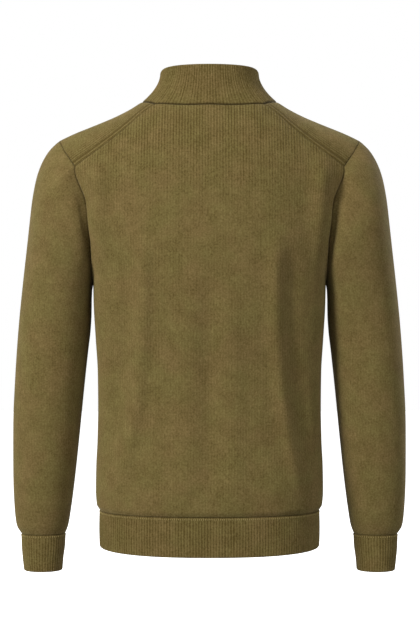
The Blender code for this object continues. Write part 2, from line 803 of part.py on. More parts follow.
def main():
    clear_scene()
    knit = material("knit", KNIT, 0.9)
    webbing = material("tape", TAPE_COLOUR, 0.8)
    metal = material("metal", METAL_COLOUR, 0.35, 1.0)
    pieces = cloth_pieces()
    share_normals(pieces)
    for piece in pieces:
        add_wall(piece, knit)
    by_name = {piece.name: piece for piece in pieces}
    first_row = len(LOWER_ROWS) - 2 + SLIT_ROW
    tape = tape_grid(by_name["front_panel"], by_name["collar"], first_row)
    add_wall(Piece("zip_tape_left", tape, wall=TAPE_THICK), webbing)
    add_wall(Piece("zip_tape_right", mirrored(tape)[:, ::-1], wall=TAPE_THICK), webbing)
    frame = zip_frame(tape)
    add_slider(frame, metal)
    add_pull(frame, metal)
    add_stop(tape, metal)


main()
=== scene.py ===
"""Looks of the quarter zip sweater: fine rib knit, filled out with no wearer, seen from the back.

Every surface is worked out from the same tables as the solids, in millimetres and degrees, and is
made at full detail here. Each cloth piece is a closed thin wall whose edges roll under at its
seams. "turn" goes round the body, from 0 at the side to 90 at the centre. "drop" goes over the
shoulder, 0 on its ridge, positive down the back and negative down the front.
"""

import math

import bpy
import numpy as np
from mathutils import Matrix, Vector
from mathutils.kdtree import KDTree

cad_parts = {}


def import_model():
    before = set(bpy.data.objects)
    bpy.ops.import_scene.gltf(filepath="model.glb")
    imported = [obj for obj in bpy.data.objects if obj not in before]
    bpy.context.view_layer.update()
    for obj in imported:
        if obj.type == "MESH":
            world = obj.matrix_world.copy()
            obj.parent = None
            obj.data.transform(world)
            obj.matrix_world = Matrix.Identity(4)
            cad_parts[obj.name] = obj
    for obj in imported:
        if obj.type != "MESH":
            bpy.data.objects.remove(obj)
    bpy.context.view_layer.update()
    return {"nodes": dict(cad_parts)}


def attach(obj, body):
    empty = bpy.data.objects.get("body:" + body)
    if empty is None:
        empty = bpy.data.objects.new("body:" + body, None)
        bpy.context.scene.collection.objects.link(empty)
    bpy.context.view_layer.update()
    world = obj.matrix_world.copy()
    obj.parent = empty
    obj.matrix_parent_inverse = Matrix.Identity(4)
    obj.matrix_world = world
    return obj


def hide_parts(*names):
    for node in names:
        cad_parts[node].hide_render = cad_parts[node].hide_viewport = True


MM = 0.001
DEG = math.pi / 180
CENTRE = 90 * DEG

# Cloth
WALL = 2.5
COLLAR_WALL = 3.0
CELL = 3.3  # size of the mesh's cells
BLOUSE_CELL = 1.8
SLEEVE_CELL = 3.8
CUFF_CELL = 2.6
BAND_CELL = 2.4
LIP_ROUND = (1.15, 0.8)  # width and depth of an open edge's rounding, in half walls
SEAM_PULL = 0.05  # how far each edge stands back from its seam
SEAM_ROLL = (2.2, 1.1)  # width and depth of an edge that rolls under at its seam
BAND_ROLL = (2.0, 1.0)
NECK_ROLL = (3.4, 2.4)
WELT = (4.0, 1.6, 2.6)  # place, height and half width of the back's edge beside the armhole
WELT_TOP = -80.0
WELT_FADE = (60.0, 12.0)  # heights over which it fades, at its top and at the underarm
VALLEY_DEPTH = 6.5  # how far the armhole's lower seam lies sunk between sleeve and back
VALLEY_SLEEVE = 15.0  # width of its slope on the sleeve
VALLEY_BACK = 3.2  # width of its slope on the back
VALLEY_TOP = -92.0
VALLEY_FADE = 70.0
VALLEY_BEHIND = 30.0  # depth behind the shoulder line at which it is full
SEAM_SHADE = 0.45  # how much painted shade darkens the knit's colour deep in a seam
SEAM_SHADE_WIDTH = 1.7
# Painted shade deep in the neck seam, mixed into the knit's colour
NECK_SHADE = 0.85
FAR = 1e3
CLOTH = "_cloth"  # ending of a cloth piece's name
BAND_RIBS = 0.28  # height of the bands' ribs
RIB_ENDS = (3.0, 2.0)  # widths over which they rise from a seam and from an open edge
STRIP_START = 15.0  # depth behind the shoulder ridge at which the strip's own lines begin
SIDES = (1, -1)  # the wearer's left and right
SEAM_SHARE = 3.0  # edges nearer than this lean the same way
SEAM_LEAN = 6.0  # width beside an edge that leans with it
SEAM_STEPS = (0.0, 0.7, 1.5, 2.6)  # places of the first points beside a seam
LIP_STEPS = (0.0, 0.15, 0.5, 1.0, 1.6, 2.6)  # places of the first points beside a folded edge
RIB_PITCH = 4.2
UP = (0.0, 0.0, 1.0)
STITCH = (0.62, 0.5, 1.25)  # half sizes of a linking stitch: along, out and up
STITCH_PROUD = 0.15
UNEVEN = (0.85, 0.3, 0.618)  # least height of a stitch, how far it varies, and by what step
HEM_LINK_PITCH = 3.0
CUFF_LINK_PITCH = 3.6
LINK_ROW = 3  # row of the band below its seam that carries the stitches
YOKE_TUCK = 7.6  # distance of the tuck line from the seam on the back's shoulders
RIB_COLUMNS = 4  # columns of the mesh for each rib
RIB_LEAST = 0.25  # share of the ribs' strength left low on the body
RIB_LOW = -180.0  # height above which the ribs grow
RIB_RISE = 170.0
STRIP_RIB = 0.8  # share of the ribs that the strip over the shoulder loses
SLEEVE_RIB = 0.2
BAND_RIB = 0.6

# Torso
SQUARENESS = 2.35
RIDGE_SPAN = 240.0
BACK_ARCH = 170.0
FRONT_ARCH = 150.0
UNDERARM_HEIGHT = -265.0
HEM_HEIGHT = -604.0
BLOUSE_TOP = -575.0
HEM_DEPTH = 53.0
HEM_DIP = 5.0
HEM_BULGE = 0.004
SLIT_HALF = 5.5
SLIT_SHARE = 0.2  # foot of the slit, between the underarm's level and the neck
EDGE = {  # rough lengths of the panels' edges
    "back_neck": 92,
    "yoke": 125,
    "armhole": 230,
    "front_neck": 150,
    "ridge": 128,
    "strip": 90,
    "below_slit": 42,
    "slit": 175,
}
BACK_NECK_SHARE = 5 / 11
FRONT_NECK_SHARE = 7 / 13

# Zip
TAPE_INNER = 1.3
TAPE_OUTER = 14.0
TAPE_THICK = 1.0
TAPE_CLEAR = 0.4
TAPE_CELL = 2.0
TAPE_COLUMNS = 9
ZIP_COLUMNS = 22  # columns of cloth that reach past the tape's edge
ZIP_FOOT_ROWS = 4  # rows of cloth below the slit that the tapes reach
COLLAR_FOOT = -75.0  # height at which the zip passes from the front to the thicker collar
COLLAR_FOOT_FADE = 12.0
SLIDER_ROW = 0.80  # share of the collar's height at which the slider stands
SLIDER_CLEAR = 3.0  # how far below the slider's middle the teeth are already closed
TOOTH_PITCH = 1.6
TOOTH_REACH = (-0.45, 0.95, 2.3)  # inner ends of a closed and an open tooth, and the outer end
TOOTH_HALF = (0.52, 1.0)  # half sizes up and out
TEETH_START = 7.0
TEETH_END = 1.5
METAL_EDGE = 0.25

# Yarn and metal
KNIT_GREEN = (0.252, 0.202, 0.068, 1)
KNIT_WARM = (0.272, 0.193, 0.073, 1)
KNIT_DARK = (0.113, 0.077, 0.018, 1)
# Colour of the painted shade deep in the seams
PAINTED_SHADOW_COLOUR = (0.035, 0.022, 0.005, 1)
YARN_LIGHT = (0.46, 0.37, 0.15, 1)
YARN_DARK = (0.27, 0.20, 0.07, 1)
TAPE_COLOUR = (0.060, 0.045, 0.020)
BRASS = (0.42, 0.33, 0.17)
WALE = 1.4  # width of a column of stitches
COURSE = 1.1  # height of a stitch
FLECKS = (420.0, 4.0)  # scale and detail of each unevenness
PATCHES = (45.0, 2.0)
TINTS = (24.0, 2.0)

MATT = {
    "Roughness": 0.95,
    "Diffuse Roughness": 0.6,
    "Specular IOR Level": 0.15,
    "Sheen Weight": 0.12,
    "Sheen Roughness": 0.5,
    "Sheen Tint": (0.8, 0.7, 0.45, 1),
}

# Stage, in metres and watts
WHITE = (1, 1, 1, 1)
PALE = (0.9, 0.9, 0.9, 1)
FLOOR_HALF = 9.0
FLOOR_HEIGHT = -1.0
AMBIENT = 0.26
LIGHTS = {  # place, size and power
    "key": ((2.1, 2.2, 0.9), 1.1, 88.0),
    "back_fill": ((-1.6, 2.2, 1.5), 1.8, 24.0),
    "front_key": ((-2.0, -2.2, 1.0), 1.4, 60.0),
    "front_fill": ((1.6, -2.6, 0.6), 2.0, 28.0),
}
TARGET = Vector((0, 0, -0.3))
SENSOR = 36.0
CAMERA_DISTANCE = 2.4
VIEW_HEIGHT = 0.945
VIEW_CENTRE = -0.3135
VIEW_ACROSS = -0.00075


def table(columns, *rows):
    """Named columns of numbers, one row for each section or fold."""
    return dict(zip(columns.split(), np.array(rows, float).T))


TORSO = table(
    "height half_width front_depth back_depth",
    (-606, 163.5, 112, 108),
    (-603, 164.5, 113.5, 109.5),
    (-596, 168.5, 117, 113),
    (-575, 170, 118, 114),
    (-540, 169.5, 117.5, 112),
    (-500, 167.5, 116, 109),
    (-450, 166.5, 115.5, 107.5),
    (-400, 167, 118, 109),
    (-350, 170, 122, 114),
    (-300, 173, 127, 119),
    (-265, 174, 129, 121),
    (-213, 186, 130, 122),
    (-180, 197, 128, 121),
    (-147, 206, 124, 119),
    (-94, 236, 116, 116),
    (-55, 240, 112, 114),
    (60, 240, 108, 112),
)
RIDGE = table(
    "across height",
    (0, 30),
    (60, 22),
    (85, 13),
    (102, 4.5),
    (119, -6),
    (143, -18),
    (172, -30),
    (202, -42),
    (227, -54),
    (240, -62),
)
BACK_ARMHOLE = table(
    "drop turn",
    (101.1, 0),
    (97.5, 8),
    (92.5, 16),
    (85, 22.5),
    (76, 27),
    (65, 29.5),
    (56, 32.5),
    (47, 35.5),
)
FRONT_ARMHOLE = table(
    "drop turn",
    (-110.2, 0),
    (-105, 9),
    (-98, 17.5),
    (-89, 25),
    (-77, 30.5),
    (-62, 34),
    (-45, 32),
    (-22, 26),
    (0, 20.5),
)
STRIP_ARMHOLE = table("drop turn", (0, 20.5), (25, 26.5), (47, 35.5))
FRONT_NECK = table(
    "across drop",
    (SLIT_HALF, -68.5),
    (32, -66),
    (60, -56),
    (84, -38),
    (97.5, -18),
    (102, 0),
)
STRIP_NECK = table("across drop", (102, 0), (95.5, 13), (80, 26.5))
BACK_NECK = table("across drop", (0, 37.6), (30, 36), (58, 32.5), (80, 26.5))
RIDGE_LINE = table("across drop", (102, 0), (227, 0))
YOKE = table("across drop", (80, 26.5), (114, 33.5), (148, 40), (170, 43.5), (198.2, 47))

# Soft vertical folds. Depth is positive where the cloth stands out.
FOLD_COLUMNS = "top_height bottom_height top_across middle_across bottom_across half_width depth"
BACK_FOLDS = table(
    FOLD_COLUMNS,
    (-60, -540, 167, 167, 168, 17, 18.0),
    (-200, -560, 123, 125, 160, 12, -6.5),
    (-180, -590, 99, 101, 138, 12, 7.5),
    (-260, -600, 30, 33, 40, 17, 3.0),
    (-230, -590, -2, -3, -6, 17, -3.5),
    (-220, -600, -54, -60, -66, 24, 4.5),
    (-210, -590, -117, -119, -122, 18, -6.5),
    (-60, -340, -170, -172, -172, 21, 20.0),
)
FRONT_FOLDS = table(
    FOLD_COLUMNS,
    (-230, -590, 112, 118, 138, 18, 4.5),
    (-260, -600, 66, 70, 78, 17, -3.5),
    (-300, -580, -58, -61, -66, 19, 3.0),
    (-240, -590, -108, -118, -140, 19, -4.5),
)
FOLD_FADE = 70.0

ARM_COLUMNS = "outer_x outer_z inner_x inner_z half_depth centre_y"
SLEEVE = table(
    ARM_COLUMNS,
    (240, -67, 175.0, -271, 76, 0),
    (251, -85, 176.0, -277, 78, 0),
    (259.5, -108, 176.5, -283, 78, -1),
    (265, -137, 177.0, -291, 76, -2),
    (269, -172, 177.2, -301, 73.5, -3),
    (274, -216, 177.5, -315, 70.5, -4),
    (280, -267, 179.0, -337, 67, -6),
    (286.5, -330, 183.0, -370, 63.5, -8),
    (292, -405, 189.0, -425, 60, -10),
    (295.5, -480, 195.5, -489, 55.5, -13),
    (296, -550, 202.5, -553, 50, -17),
    (294.5, -602, 209.0, -603, 44, -20),
    (291.5, -630, 213.5, -630, 38.5, -22),
    (284.5, -643, 218.0, -643, 33.5, -23),
)
CUFF = table(
    ARM_COLUMNS,
    (284.5, -643, 218.0, -643, 33.5, -23),
    (284.0, -662, 219.0, -662, 32.5, -23.5),
    (282.5, -681, 221.5, -681, 31.0, -24.0),
    (280.5, -699, 223.0, -699, 29.5, -24.5),
)
ARM_SQUARENESS = 2.1
SLEEVE_CAP_RINGS = 5
SLEEVE_CELLS = (96, 72)  # cells behind and in front of the arm's outer line
SLEEVE_LENGTH = 600.0

COLLAR_TOP = {
    "half_width": 74.0,
    "front": -73.0,
    "back": 55.0,
    "front_height": 6.0,
    "back_height": 55.0,
}
COLLAR_HEIGHT = 68.0
COLLAR_FALL = 3.0  # how late the top edge drops towards the front
COLLAR_FLARE = 2.0


# Curves and surfaces


def smooth(xs, ys, at):
    """Reads a monotone cubic curve through the points (xs, ys), xs rising."""
    at = np.clip(at, xs[0], xs[-1])
    step = np.diff(xs)
    slope = np.diff(ys) / step
    product = slope[:-1] * slope[1:]
    total = np.where(product > 0, slope[:-1] + slope[1:], 1)
    inner = np.where(product > 0, 2 * product / total, 0)
    tangent = np.concatenate([slope[:1], inner, slope[-1:]])
    i = np.clip(np.searchsorted(xs, at) - 1, 0, len(xs) - 2)
    t = (at - xs[i]) / step[i]
    ends = (1 + 2 * t) * (1 - t) ** 2 * ys[i] + t**2 * (3 - 2 * t) * ys[i + 1]
    bends = t * (1 - t) ** 2 * tangent[i] - t**2 * (1 - t) * tangent[i + 1]
    return ends + step[i] * bends


def fade(t):
    """Eases from 0 to 1 while t goes from 0 to 1."""
    t = np.clip(t, 0, 1)
    return t * t * (3 - 2 * t)


def path_length(points):
    """Length from the start of a path to each of its points."""
    return np.concatenate([[0], np.cumsum(np.linalg.norm(np.diff(points, axis=0), axis=1))])


def spread(points, shares):
    """Points at shares of a path's length."""
    length = path_length(points)
    at = np.asarray(shares) * length[-1]
    return np.stack([np.interp(at, length, column) for column in points.T], axis=1)


def along(columns, shares):
    """Points at shares of the length of a table's curve."""
    points = np.array(list(columns.values())).T
    length = path_length(points)
    at = np.asarray(shares) * length[-1]
    return np.stack([smooth(length, column, at) for column in points.T], axis=1)


def graded(length, start=(0.0,), end=(0.0,), cell=CELL):
    """Shares of an edge, a cell apart, with closer steps beside each end."""
    low = np.array(start) / length
    high = 1 - np.array(end)[::-1] / length
    cells = max(1, round((high[0] - low[-1]) * length / cell))
    return np.concatenate([low[:-1], np.linspace(low[-1], high[0], cells + 1), high[1:]])


def torso_size(name, z):
    """One of the torso table's columns at a height."""
    return smooth(TORSO["height"], TORSO[name], z)


def width_share(turn):
    """Place across the torso at a turn, as a share of its half width."""
    return np.abs(np.cos(turn)) ** (2 / SQUARENESS)


def ridge_height(share):
    """Height of the shoulder ridge at a share of the torso's half width."""
    return smooth(RIDGE["across"], RIDGE["height"], np.abs(share) * RIDGE_SPAN)


def tree_of(points):
    """A search tree of points."""
    tree = KDTree(len(points))
    for i, point in enumerate(points):
        tree.insert(point, i)
    tree.balance()
    return tree


def near(points, line):
    """Distance of each point to the nearest of a line's points."""
    tree = tree_of(line)
    return np.array([tree.find(point)[2] for point in points])


def folds(columns, x, z):
    """How far the soft folds move the cloth out at a place on the torso."""
    moved = np.zeros(np.broadcast(x, z).shape)
    for top, bottom, top_x, middle_x, bottom_x, half_width, depth in zip(*columns.values()):
        down = np.clip((top - z) / (top - bottom), 0, 1)
        bend = 4 * down * (1 - down) * (middle_x - (top_x + bottom_x) / 2)
        middle = top_x + (bottom_x - top_x) * down + bend
        ends = fade((top - z) / FOLD_FADE) * fade((z - bottom) / FOLD_FADE)
        moved += depth * ends * np.exp(-(((x - middle) / half_width) ** 2))
    return moved


def torso_at(side, turn, z, arch):
    """A torso point at a height. side is 1 behind and -1 in front, arch from 0 to 1."""
    share = width_share(turn) * np.sign(np.cos(turn))
    inward = np.abs(np.sin(turn)) ** (2 / SQUARENESS)
    x = share * torso_size("half_width", z)
    back = torso_size("back_depth", z) + folds(BACK_FOLDS, x, z)
    front = torso_size("front_depth", z) + folds(FRONT_FOLDS, x, z)
    y = side * np.where(side > 0, back, front) * inward * arch
    return np.stack(np.broadcast_arrays(x, y, z), axis=-1)


def torso_drop(turn, drop):
    """A torso point by its drop over the shoulder ridge, in radians."""
    side = np.where(drop >= 0, 1, -1)
    height = np.where(drop >= 0, BACK_ARCH, FRONT_ARCH)
    angle = np.minimum(np.abs(drop), CENTRE)
    fall = 1 - np.cos(angle) + (np.abs(drop) - angle)
    share = width_share(turn)
    z = ridge_height(share) - height * fall
    return torso_at(side, turn, z, np.sin(angle))


def turn_at(across, z):
    """The turn where the torso is a given distance across at a height."""
    share = across / torso_size("half_width", z)
    return np.arccos(np.clip(share, 0, 1) ** (SQUARENESS / 2))


def drop_at(side, turn, z):
    """The drop of a torso point at a height."""
    height = BACK_ARCH if side > 0 else FRONT_ARCH
    share = width_share(turn)
    fall = (ridge_height(share) - z) / height
    angle = np.where(fall < 1, np.arccos(np.clip(1 - fall, -1, 1)), CENTRE + fall - 1)
    return side * angle


def shoulder_line(columns, shares):
    """Turn and drop of points along a line given by its distance across and its drop."""
    across, drop = along(columns, shares).T
    drop = drop * DEG
    turn = np.full_like(drop, CENTRE)
    for _ in range(8):
        z = torso_drop(turn, drop)[:, 2]
        turn = turn_at(across, z)
    return np.stack([turn, drop], axis=1)


def armhole_line(columns, shares):
    """Turn and drop of points along an armhole seam."""
    drop, turn = along(columns, shares).T * DEG
    return np.stack([turn, drop], axis=1)


def patch(bottom, top, centre, side, s, v):
    """Fills a four-sided field with rows, from its four edges."""
    s = s[None, :, None]
    v = v[:, None, None]
    rows = (1 - v) * bottom[None] + v * top[None]
    columns = (1 - s) * centre[:, None] + s * side[:, None]
    low = (1 - s) * bottom[0] + s * bottom[-1]
    high = (1 - s) * top[0] + s * top[-1]
    return rows + columns - (1 - v) * low - v * high


def even_turns(start, shares):
    """Turns from a start round to the side, at shares of the length of a middle ring."""
    turn = np.linspace(start, 0, 400)
    ring = torso_at(1, turn, -400.0, 1.0)
    length = path_length(ring)
    return np.interp(np.asarray(shares) * length[-1], length, turn)


# Panels, as fields of turn and drop


def lower_heights():
    """Heights of the rows from the hem's seam to just below the underarm."""
    blouse = BLOUSE_TOP - HEM_HEIGHT
    body = UNDERARM_HEIGHT - BLOUSE_TOP
    low = HEM_HEIGHT + blouse * graded(blouse, start=SEAM_STEPS, cell=BLOUSE_CELL)
    high = BLOUSE_TOP + body * graded(body)
    return np.concatenate([low, high[1:-1]])


def torso_half(side, top, armhole, centre_across, s, v):
    """Half a panel, rows from the hem up and columns from the centre out."""
    rows = []
    for z in lower_heights():
        turn = even_turns(turn_at(centre_across, z), s)
        rows.append(np.stack([turn, drop_at(side, turn, z)], axis=1))
    turn = even_turns(turn_at(centre_across, UNDERARM_HEIGHT), s)
    bottom = np.stack([turn, drop_at(side, turn, UNDERARM_HEIGHT)], axis=1)
    bottom[-1] = armhole[0]
    heights = UNDERARM_HEIGHT + (torso_drop(*top[0])[2] - UNDERARM_HEIGHT) * v
    turns = turn_at(centre_across, heights)
    centre = np.stack([turns, drop_at(side, turns, heights)], axis=1)
    centre[-1] = top[0]
    return np.concatenate([np.array(rows), patch(bottom, top, centre, armhole, s, v)])


def back_half():
    """The back panel's left half."""
    neck = graded(EDGE["back_neck"])
    yoke = graded(EDGE["yoke"], end=SEAM_STEPS)
    top = np.concatenate([shoulder_line(BACK_NECK, neck)[:-1], shoulder_line(YOKE, yoke)])
    s = np.concatenate([neck[:-1] * BACK_NECK_SHARE, BACK_NECK_SHARE + yoke * (1 - BACK_NECK_SHARE)])
    v = graded(EDGE["armhole"], end=SEAM_STEPS)
    armhole = armhole_line(BACK_ARMHOLE, v)
    top[-1] = armhole[-1]
    return torso_half(1, top, armhole, 0.0, s, v)


def front_half():
    """The front panel's left half out from the slit, and its strip over the shoulder.

    The strip's rows have only the columns beyond the neck. Their other places stay unused.
    """
    neck = graded(EDGE["front_neck"], start=SEAM_STEPS)
    ridge = graded(EDGE["ridge"], end=SEAM_STEPS)
    ridge_points = shoulder_line(RIDGE_LINE, ridge)
    top = np.concatenate([shoulder_line(FRONT_NECK, neck)[:-1], ridge_points])
    s = np.concatenate([neck[:-1] * FRONT_NECK_SHARE, FRONT_NECK_SHARE + ridge * (1 - FRONT_NECK_SHARE)])
    v = front_shares()
    armhole = armhole_line(FRONT_ARMHOLE, v)
    top[-1] = armhole[-1]
    below = torso_half(-1, top, armhole, SLIT_HALF, s, v)
    over = graded(EDGE["strip"], end=SEAM_STEPS)
    strip_neck = shoulder_line(STRIP_NECK, over)
    strip_armhole = armhole_line(STRIP_ARMHOLE, over)
    yoke = shoulder_line(YOKE, ridge)
    yoke[-1] = strip_armhole[-1]
    strip_neck[0] = top[len(neck) - 1]
    strip_neck[-1] = yoke[0]
    strip_armhole[0] = top[-1]
    strip = patch(top[len(neck) - 1 :], yoke, strip_neck, strip_armhole, ridge, over)[1:]
    unused = np.zeros((len(strip), len(neck) - 1, 2))
    return np.concatenate([below, np.concatenate([unused, strip], axis=1)]), len(neck) - 1, len(strip)


def front_shares():
    """Shares up the front from the underarm's level, with one at the foot of the slit."""
    below = graded(EDGE["below_slit"], end=SEAM_STEPS) * SLIT_SHARE
    above = graded(EDGE["slit"], start=SEAM_STEPS, end=SEAM_STEPS)
    above = SLIT_SHARE + above * (1 - SLIT_SHARE)
    return np.concatenate([below, above[1:]])


def slit_row():
    """The front panel's row at the foot of the slit."""
    return len(lower_heights()) + int(np.argmin(np.abs(front_shares() - SLIT_SHARE)))


def ring_arc(turn, z):
    """Distance round the torso from its centre line to a turn, at a height."""
    wide = torso_size("half_width", z)
    deep = torso_size("back_depth", z)
    total = np.zeros(np.shape(turn))
    before = None
    for share in np.linspace(0, 1, 25):
        at = CENTRE + (turn - CENTRE) * share
        x = wide * width_share(at)
        y = deep * np.abs(np.sin(at)) ** (2 / SQUARENESS)
        if before is not None:
            total += np.hypot(x - before[0], y - before[1])
        before = (x, y)
    return total


def knit_of(field, points, side):
    """Knit coordinates of a panel: across the wales, and along them."""
    turn, drop = field[..., 0], field[..., 1]
    across = ring_arc(turn, points[..., 2])
    rise = np.where(drop < 0, FRONT_ARCH, BACK_ARCH) * drop
    return np.stack([across, -side * rise], axis=-1)


def mirrored(points):
    """Points on the wearer's other side."""
    return points * np.array([-1, 1, 1])


# Sleeves, cuffs, collar and hem band


def oval(angle, squareness):
    """A rounded square of half width 1, by its angle."""
    power = 2 / squareness
    p = np.sign(np.cos(angle)) * np.abs(np.cos(angle)) ** power
    q = np.sign(np.sin(angle)) * np.abs(np.sin(angle)) ** power
    return p, q


def arm_row(columns, number):
    """One row of an arm table, read smoothly between its rows."""
    rows = np.arange(len(columns["outer_x"]), dtype=float)
    return {name: float(smooth(rows, values, number)) for name, values in columns.items()}


def arm_ring(row, p, q):
    """Points of one ring of a sleeve or cuff, from its place across and in depth."""
    outer = np.array([row["outer_x"], row["centre_y"], row["outer_z"]])
    inner = np.array([row["inner_x"], row["centre_y"], row["inner_z"]])
    depth = np.array([0, row["half_depth"], 0])
    return (outer + inner) / 2 + np.outer(p, (outer - inner) / 2) + np.outer(q, depth)


def armhole_loop():
    """The armhole's points: up the back, over the shoulder and down the front."""
    dense = np.linspace(0, 1, 200)
    back = torso_drop(*armhole_line(BACK_ARMHOLE, dense).T)
    strip = torso_drop(*armhole_line(STRIP_ARMHOLE, dense).T)
    front = torso_drop(*armhole_line(FRONT_ARMHOLE, dense).T)
    behind = np.concatenate([back, strip[::-1][1:]])
    behind_cells, before_cells = SLEEVE_CELLS
    corner = path_length(back)[-1] / path_length(behind)[-1]
    corner_cell = round(corner * behind_cells)
    low = np.linspace(0, corner, corner_cell + 1)
    high = np.linspace(corner, 1, behind_cells - corner_cell + 1)
    up = spread(behind, np.concatenate([low, high[1:]]))
    down = spread(front[::-1], np.linspace(0, 1, before_cells + 1))
    return np.concatenate([up, down[1:-1]])


def arm_angles():
    """Angles round an arm, 180 degrees at the underarm and 0 on the outer side."""
    behind = np.linspace(math.pi, 0, SLEEVE_CELLS[0] + 1)
    before = np.linspace(0, -math.pi, SLEEVE_CELLS[1] + 1)
    return np.concatenate([behind, before[1:-1]])


def arm_plane(loop):
    """The armhole as a shape: its place across, in depth, and what is left over."""
    top = loop[SLEEVE_CELLS[0]]
    bottom = loop[0]
    axis = (top - bottom) / 2
    middle = (top + bottom) / 2
    across = (loop - middle) @ axis / (axis @ axis)
    depth = loop[:, 1] / np.abs(loop[:, 1]).max()
    rest = loop - middle - np.outer(across, axis)
    rest[:, 1] = 0
    return across, depth, rest


def sleeve_rings():
    """The left sleeve's rings, from the armhole to the cuff seam."""
    loop = armhole_loop()
    across, depth, rest = arm_plane(loop)
    top, bottom = loop[SLEEVE_CELLS[0]], loop[0]
    first = (top[0], top[2], bottom[0], bottom[2], np.abs(loop[:, 1]).max(), 0)
    columns = {name: np.append(start, SLEEVE[name]) for name, start in zip(SLEEVE, first)}
    angle = np.unwrap(np.arctan2(depth, across))
    even = arm_angles()
    last = len(columns["outer_x"]) - 1
    rings = []
    for share in graded(SLEEVE_LENGTH, start=SEAM_STEPS, end=SEAM_STEPS, cell=SLEEVE_CELL):
        number = share * last
        row = arm_row(columns, number)
        blend = fade(number / SLEEVE_CAP_RINGS)
        p, q = oval(angle * (1 - blend) + even * blend, ARM_SQUARENESS)
        own = arm_ring(row, across, depth) + rest
        rings.append(own * (1 - blend) + arm_ring(row, p, q) * blend)
    return np.array(rings)


def cuff_rings():
    """The left cuff's rings."""
    columns = rib_count(205)
    angle = np.linspace(math.pi, -math.pi, columns + 1)[:-1]
    p, q = oval(angle, ARM_SQUARENESS)
    last = len(CUFF["outer_x"]) - 1
    shares = graded(56, start=SEAM_STEPS, end=LIP_STEPS, cell=CUFF_CELL)
    return np.array([arm_ring(arm_row(CUFF, share * last), p, q) for share in shares])


def rib_count(length):
    """Columns of a rib band of a length: a whole number of ribs."""
    return round(length / RIB_PITCH) * RIB_COLUMNS


def neck_line():
    """The left half of the neck seam, from the slit over the shoulder to the centre back."""
    dense = np.linspace(0, 1, 200)
    parts = [shoulder_line(columns, dense) for columns in (FRONT_NECK, STRIP_NECK)]
    parts.append(shoulder_line(BACK_NECK, dense)[::-1])
    return np.concatenate([torso_drop(*part.T)[1:] for part in parts])


def both_sides(line):
    """A left half line together with its mirror image."""
    return np.concatenate([line, mirrored(line)])


def yoke_line():
    """The left half of the seam on the back, from the collar to the armhole."""
    return torso_drop(*shoulder_line(YOKE, np.linspace(0, 1, 300)).T)


def collar_half():
    """Half the collar, rows from the neck seam up, each from front to back."""
    line = neck_line()
    columns = rib_count(path_length(line)[-1])
    base = spread(line, np.linspace(0, 1, columns + 1))
    middle_y = (COLLAR_TOP["front"] + COLLAR_TOP["back"]) / 2
    half_y = (COLLAR_TOP["back"] - COLLAR_TOP["front"]) / 2
    base_half_y = (base[-1, 1] - base[0, 1]) / 2
    base_middle_y = (base[-1, 1] + base[0, 1]) / 2
    angle = np.arctan2((base[:, 1] - base_middle_y) / base_half_y, base[:, 0] / base[:, 0].max())
    lower = (0.5 - 0.5 * np.sin(angle)) ** COLLAR_FALL
    height = COLLAR_TOP["back_height"] - lower * (COLLAR_TOP["back_height"] - COLLAR_TOP["front_height"])
    p, q = oval(angle, ARM_SQUARENESS)
    top = np.stack([p * COLLAR_TOP["half_width"], middle_y + q * half_y, height], axis=1)
    rows = []
    for v in graded(COLLAR_HEIGHT, start=SEAM_STEPS, end=LIP_STEPS, cell=BAND_CELL):
        out = (1 - v) ** COLLAR_FLARE
        plan = top[:, :2] + (base[:, :2] - top[:, :2]) * out
        level = base[:, 2] + (top[:, 2] - base[:, 2]) * v
        row = np.column_stack([plan, level])
        row[0, 0] = SLIT_HALF
        row[-1, 0] = 0
        rows.append(row)
    return np.array(rows)


def hem_rings():
    """The hem band's rings, from its folded edge up to its seam."""
    turn = np.linspace(0, math.pi, 400)
    back = torso_at(1, turn, HEM_HEIGHT, 1.0)
    front = torso_at(-1, turn[::-1], HEM_HEIGHT, 1.0)
    ring = np.concatenate([front, back[1:]])
    ring = spread(ring, np.linspace(0, 1, rib_count(path_length(ring)[-1]) + 1))[:-1]
    dip = HEM_DIP * np.clip(ring[:, 1] / ring[:, 1].max(), 0, 1)
    rows = []
    for v in graded(HEM_DEPTH, start=SEAM_STEPS, end=LIP_STEPS, cell=BAND_CELL):
        row = ring.copy()
        row[:, 2] -= (HEM_DEPTH + dip) * v
        row[:, :2] *= 1 + HEM_BULGE * math.sin(math.pi * v)
        rows.append(row)
    return np.array(rows)[::-1]


def band_knit(grid, closed):
    """Knit coordinates of a grid: lengths along its rows and up its columns."""
    points = np.concatenate([grid, grid[:, :1]], axis=1) if closed else grid
    around = np.mean([path_length(row) for row in points], axis=0)
    up = path_length(points.mean(axis=1))
    return np.stack(np.broadcast_arrays(around[None, :], up[:, None]), axis=-1)


def sleeve_knit(grid):
    """Knit coordinates of a sleeve: round it from its outer line, and down that line."""
    points = np.concatenate([grid, grid[:, :1]], axis=1)
    around = np.array([path_length(row) for row in points])
    around -= around[:, SLEEVE_CELLS[0]][:, None]
    down = path_length(points[:, SLEEVE_CELLS[0]])
    return np.stack(np.broadcast_arrays(around, -down[:, None]), axis=-1)


# Walls


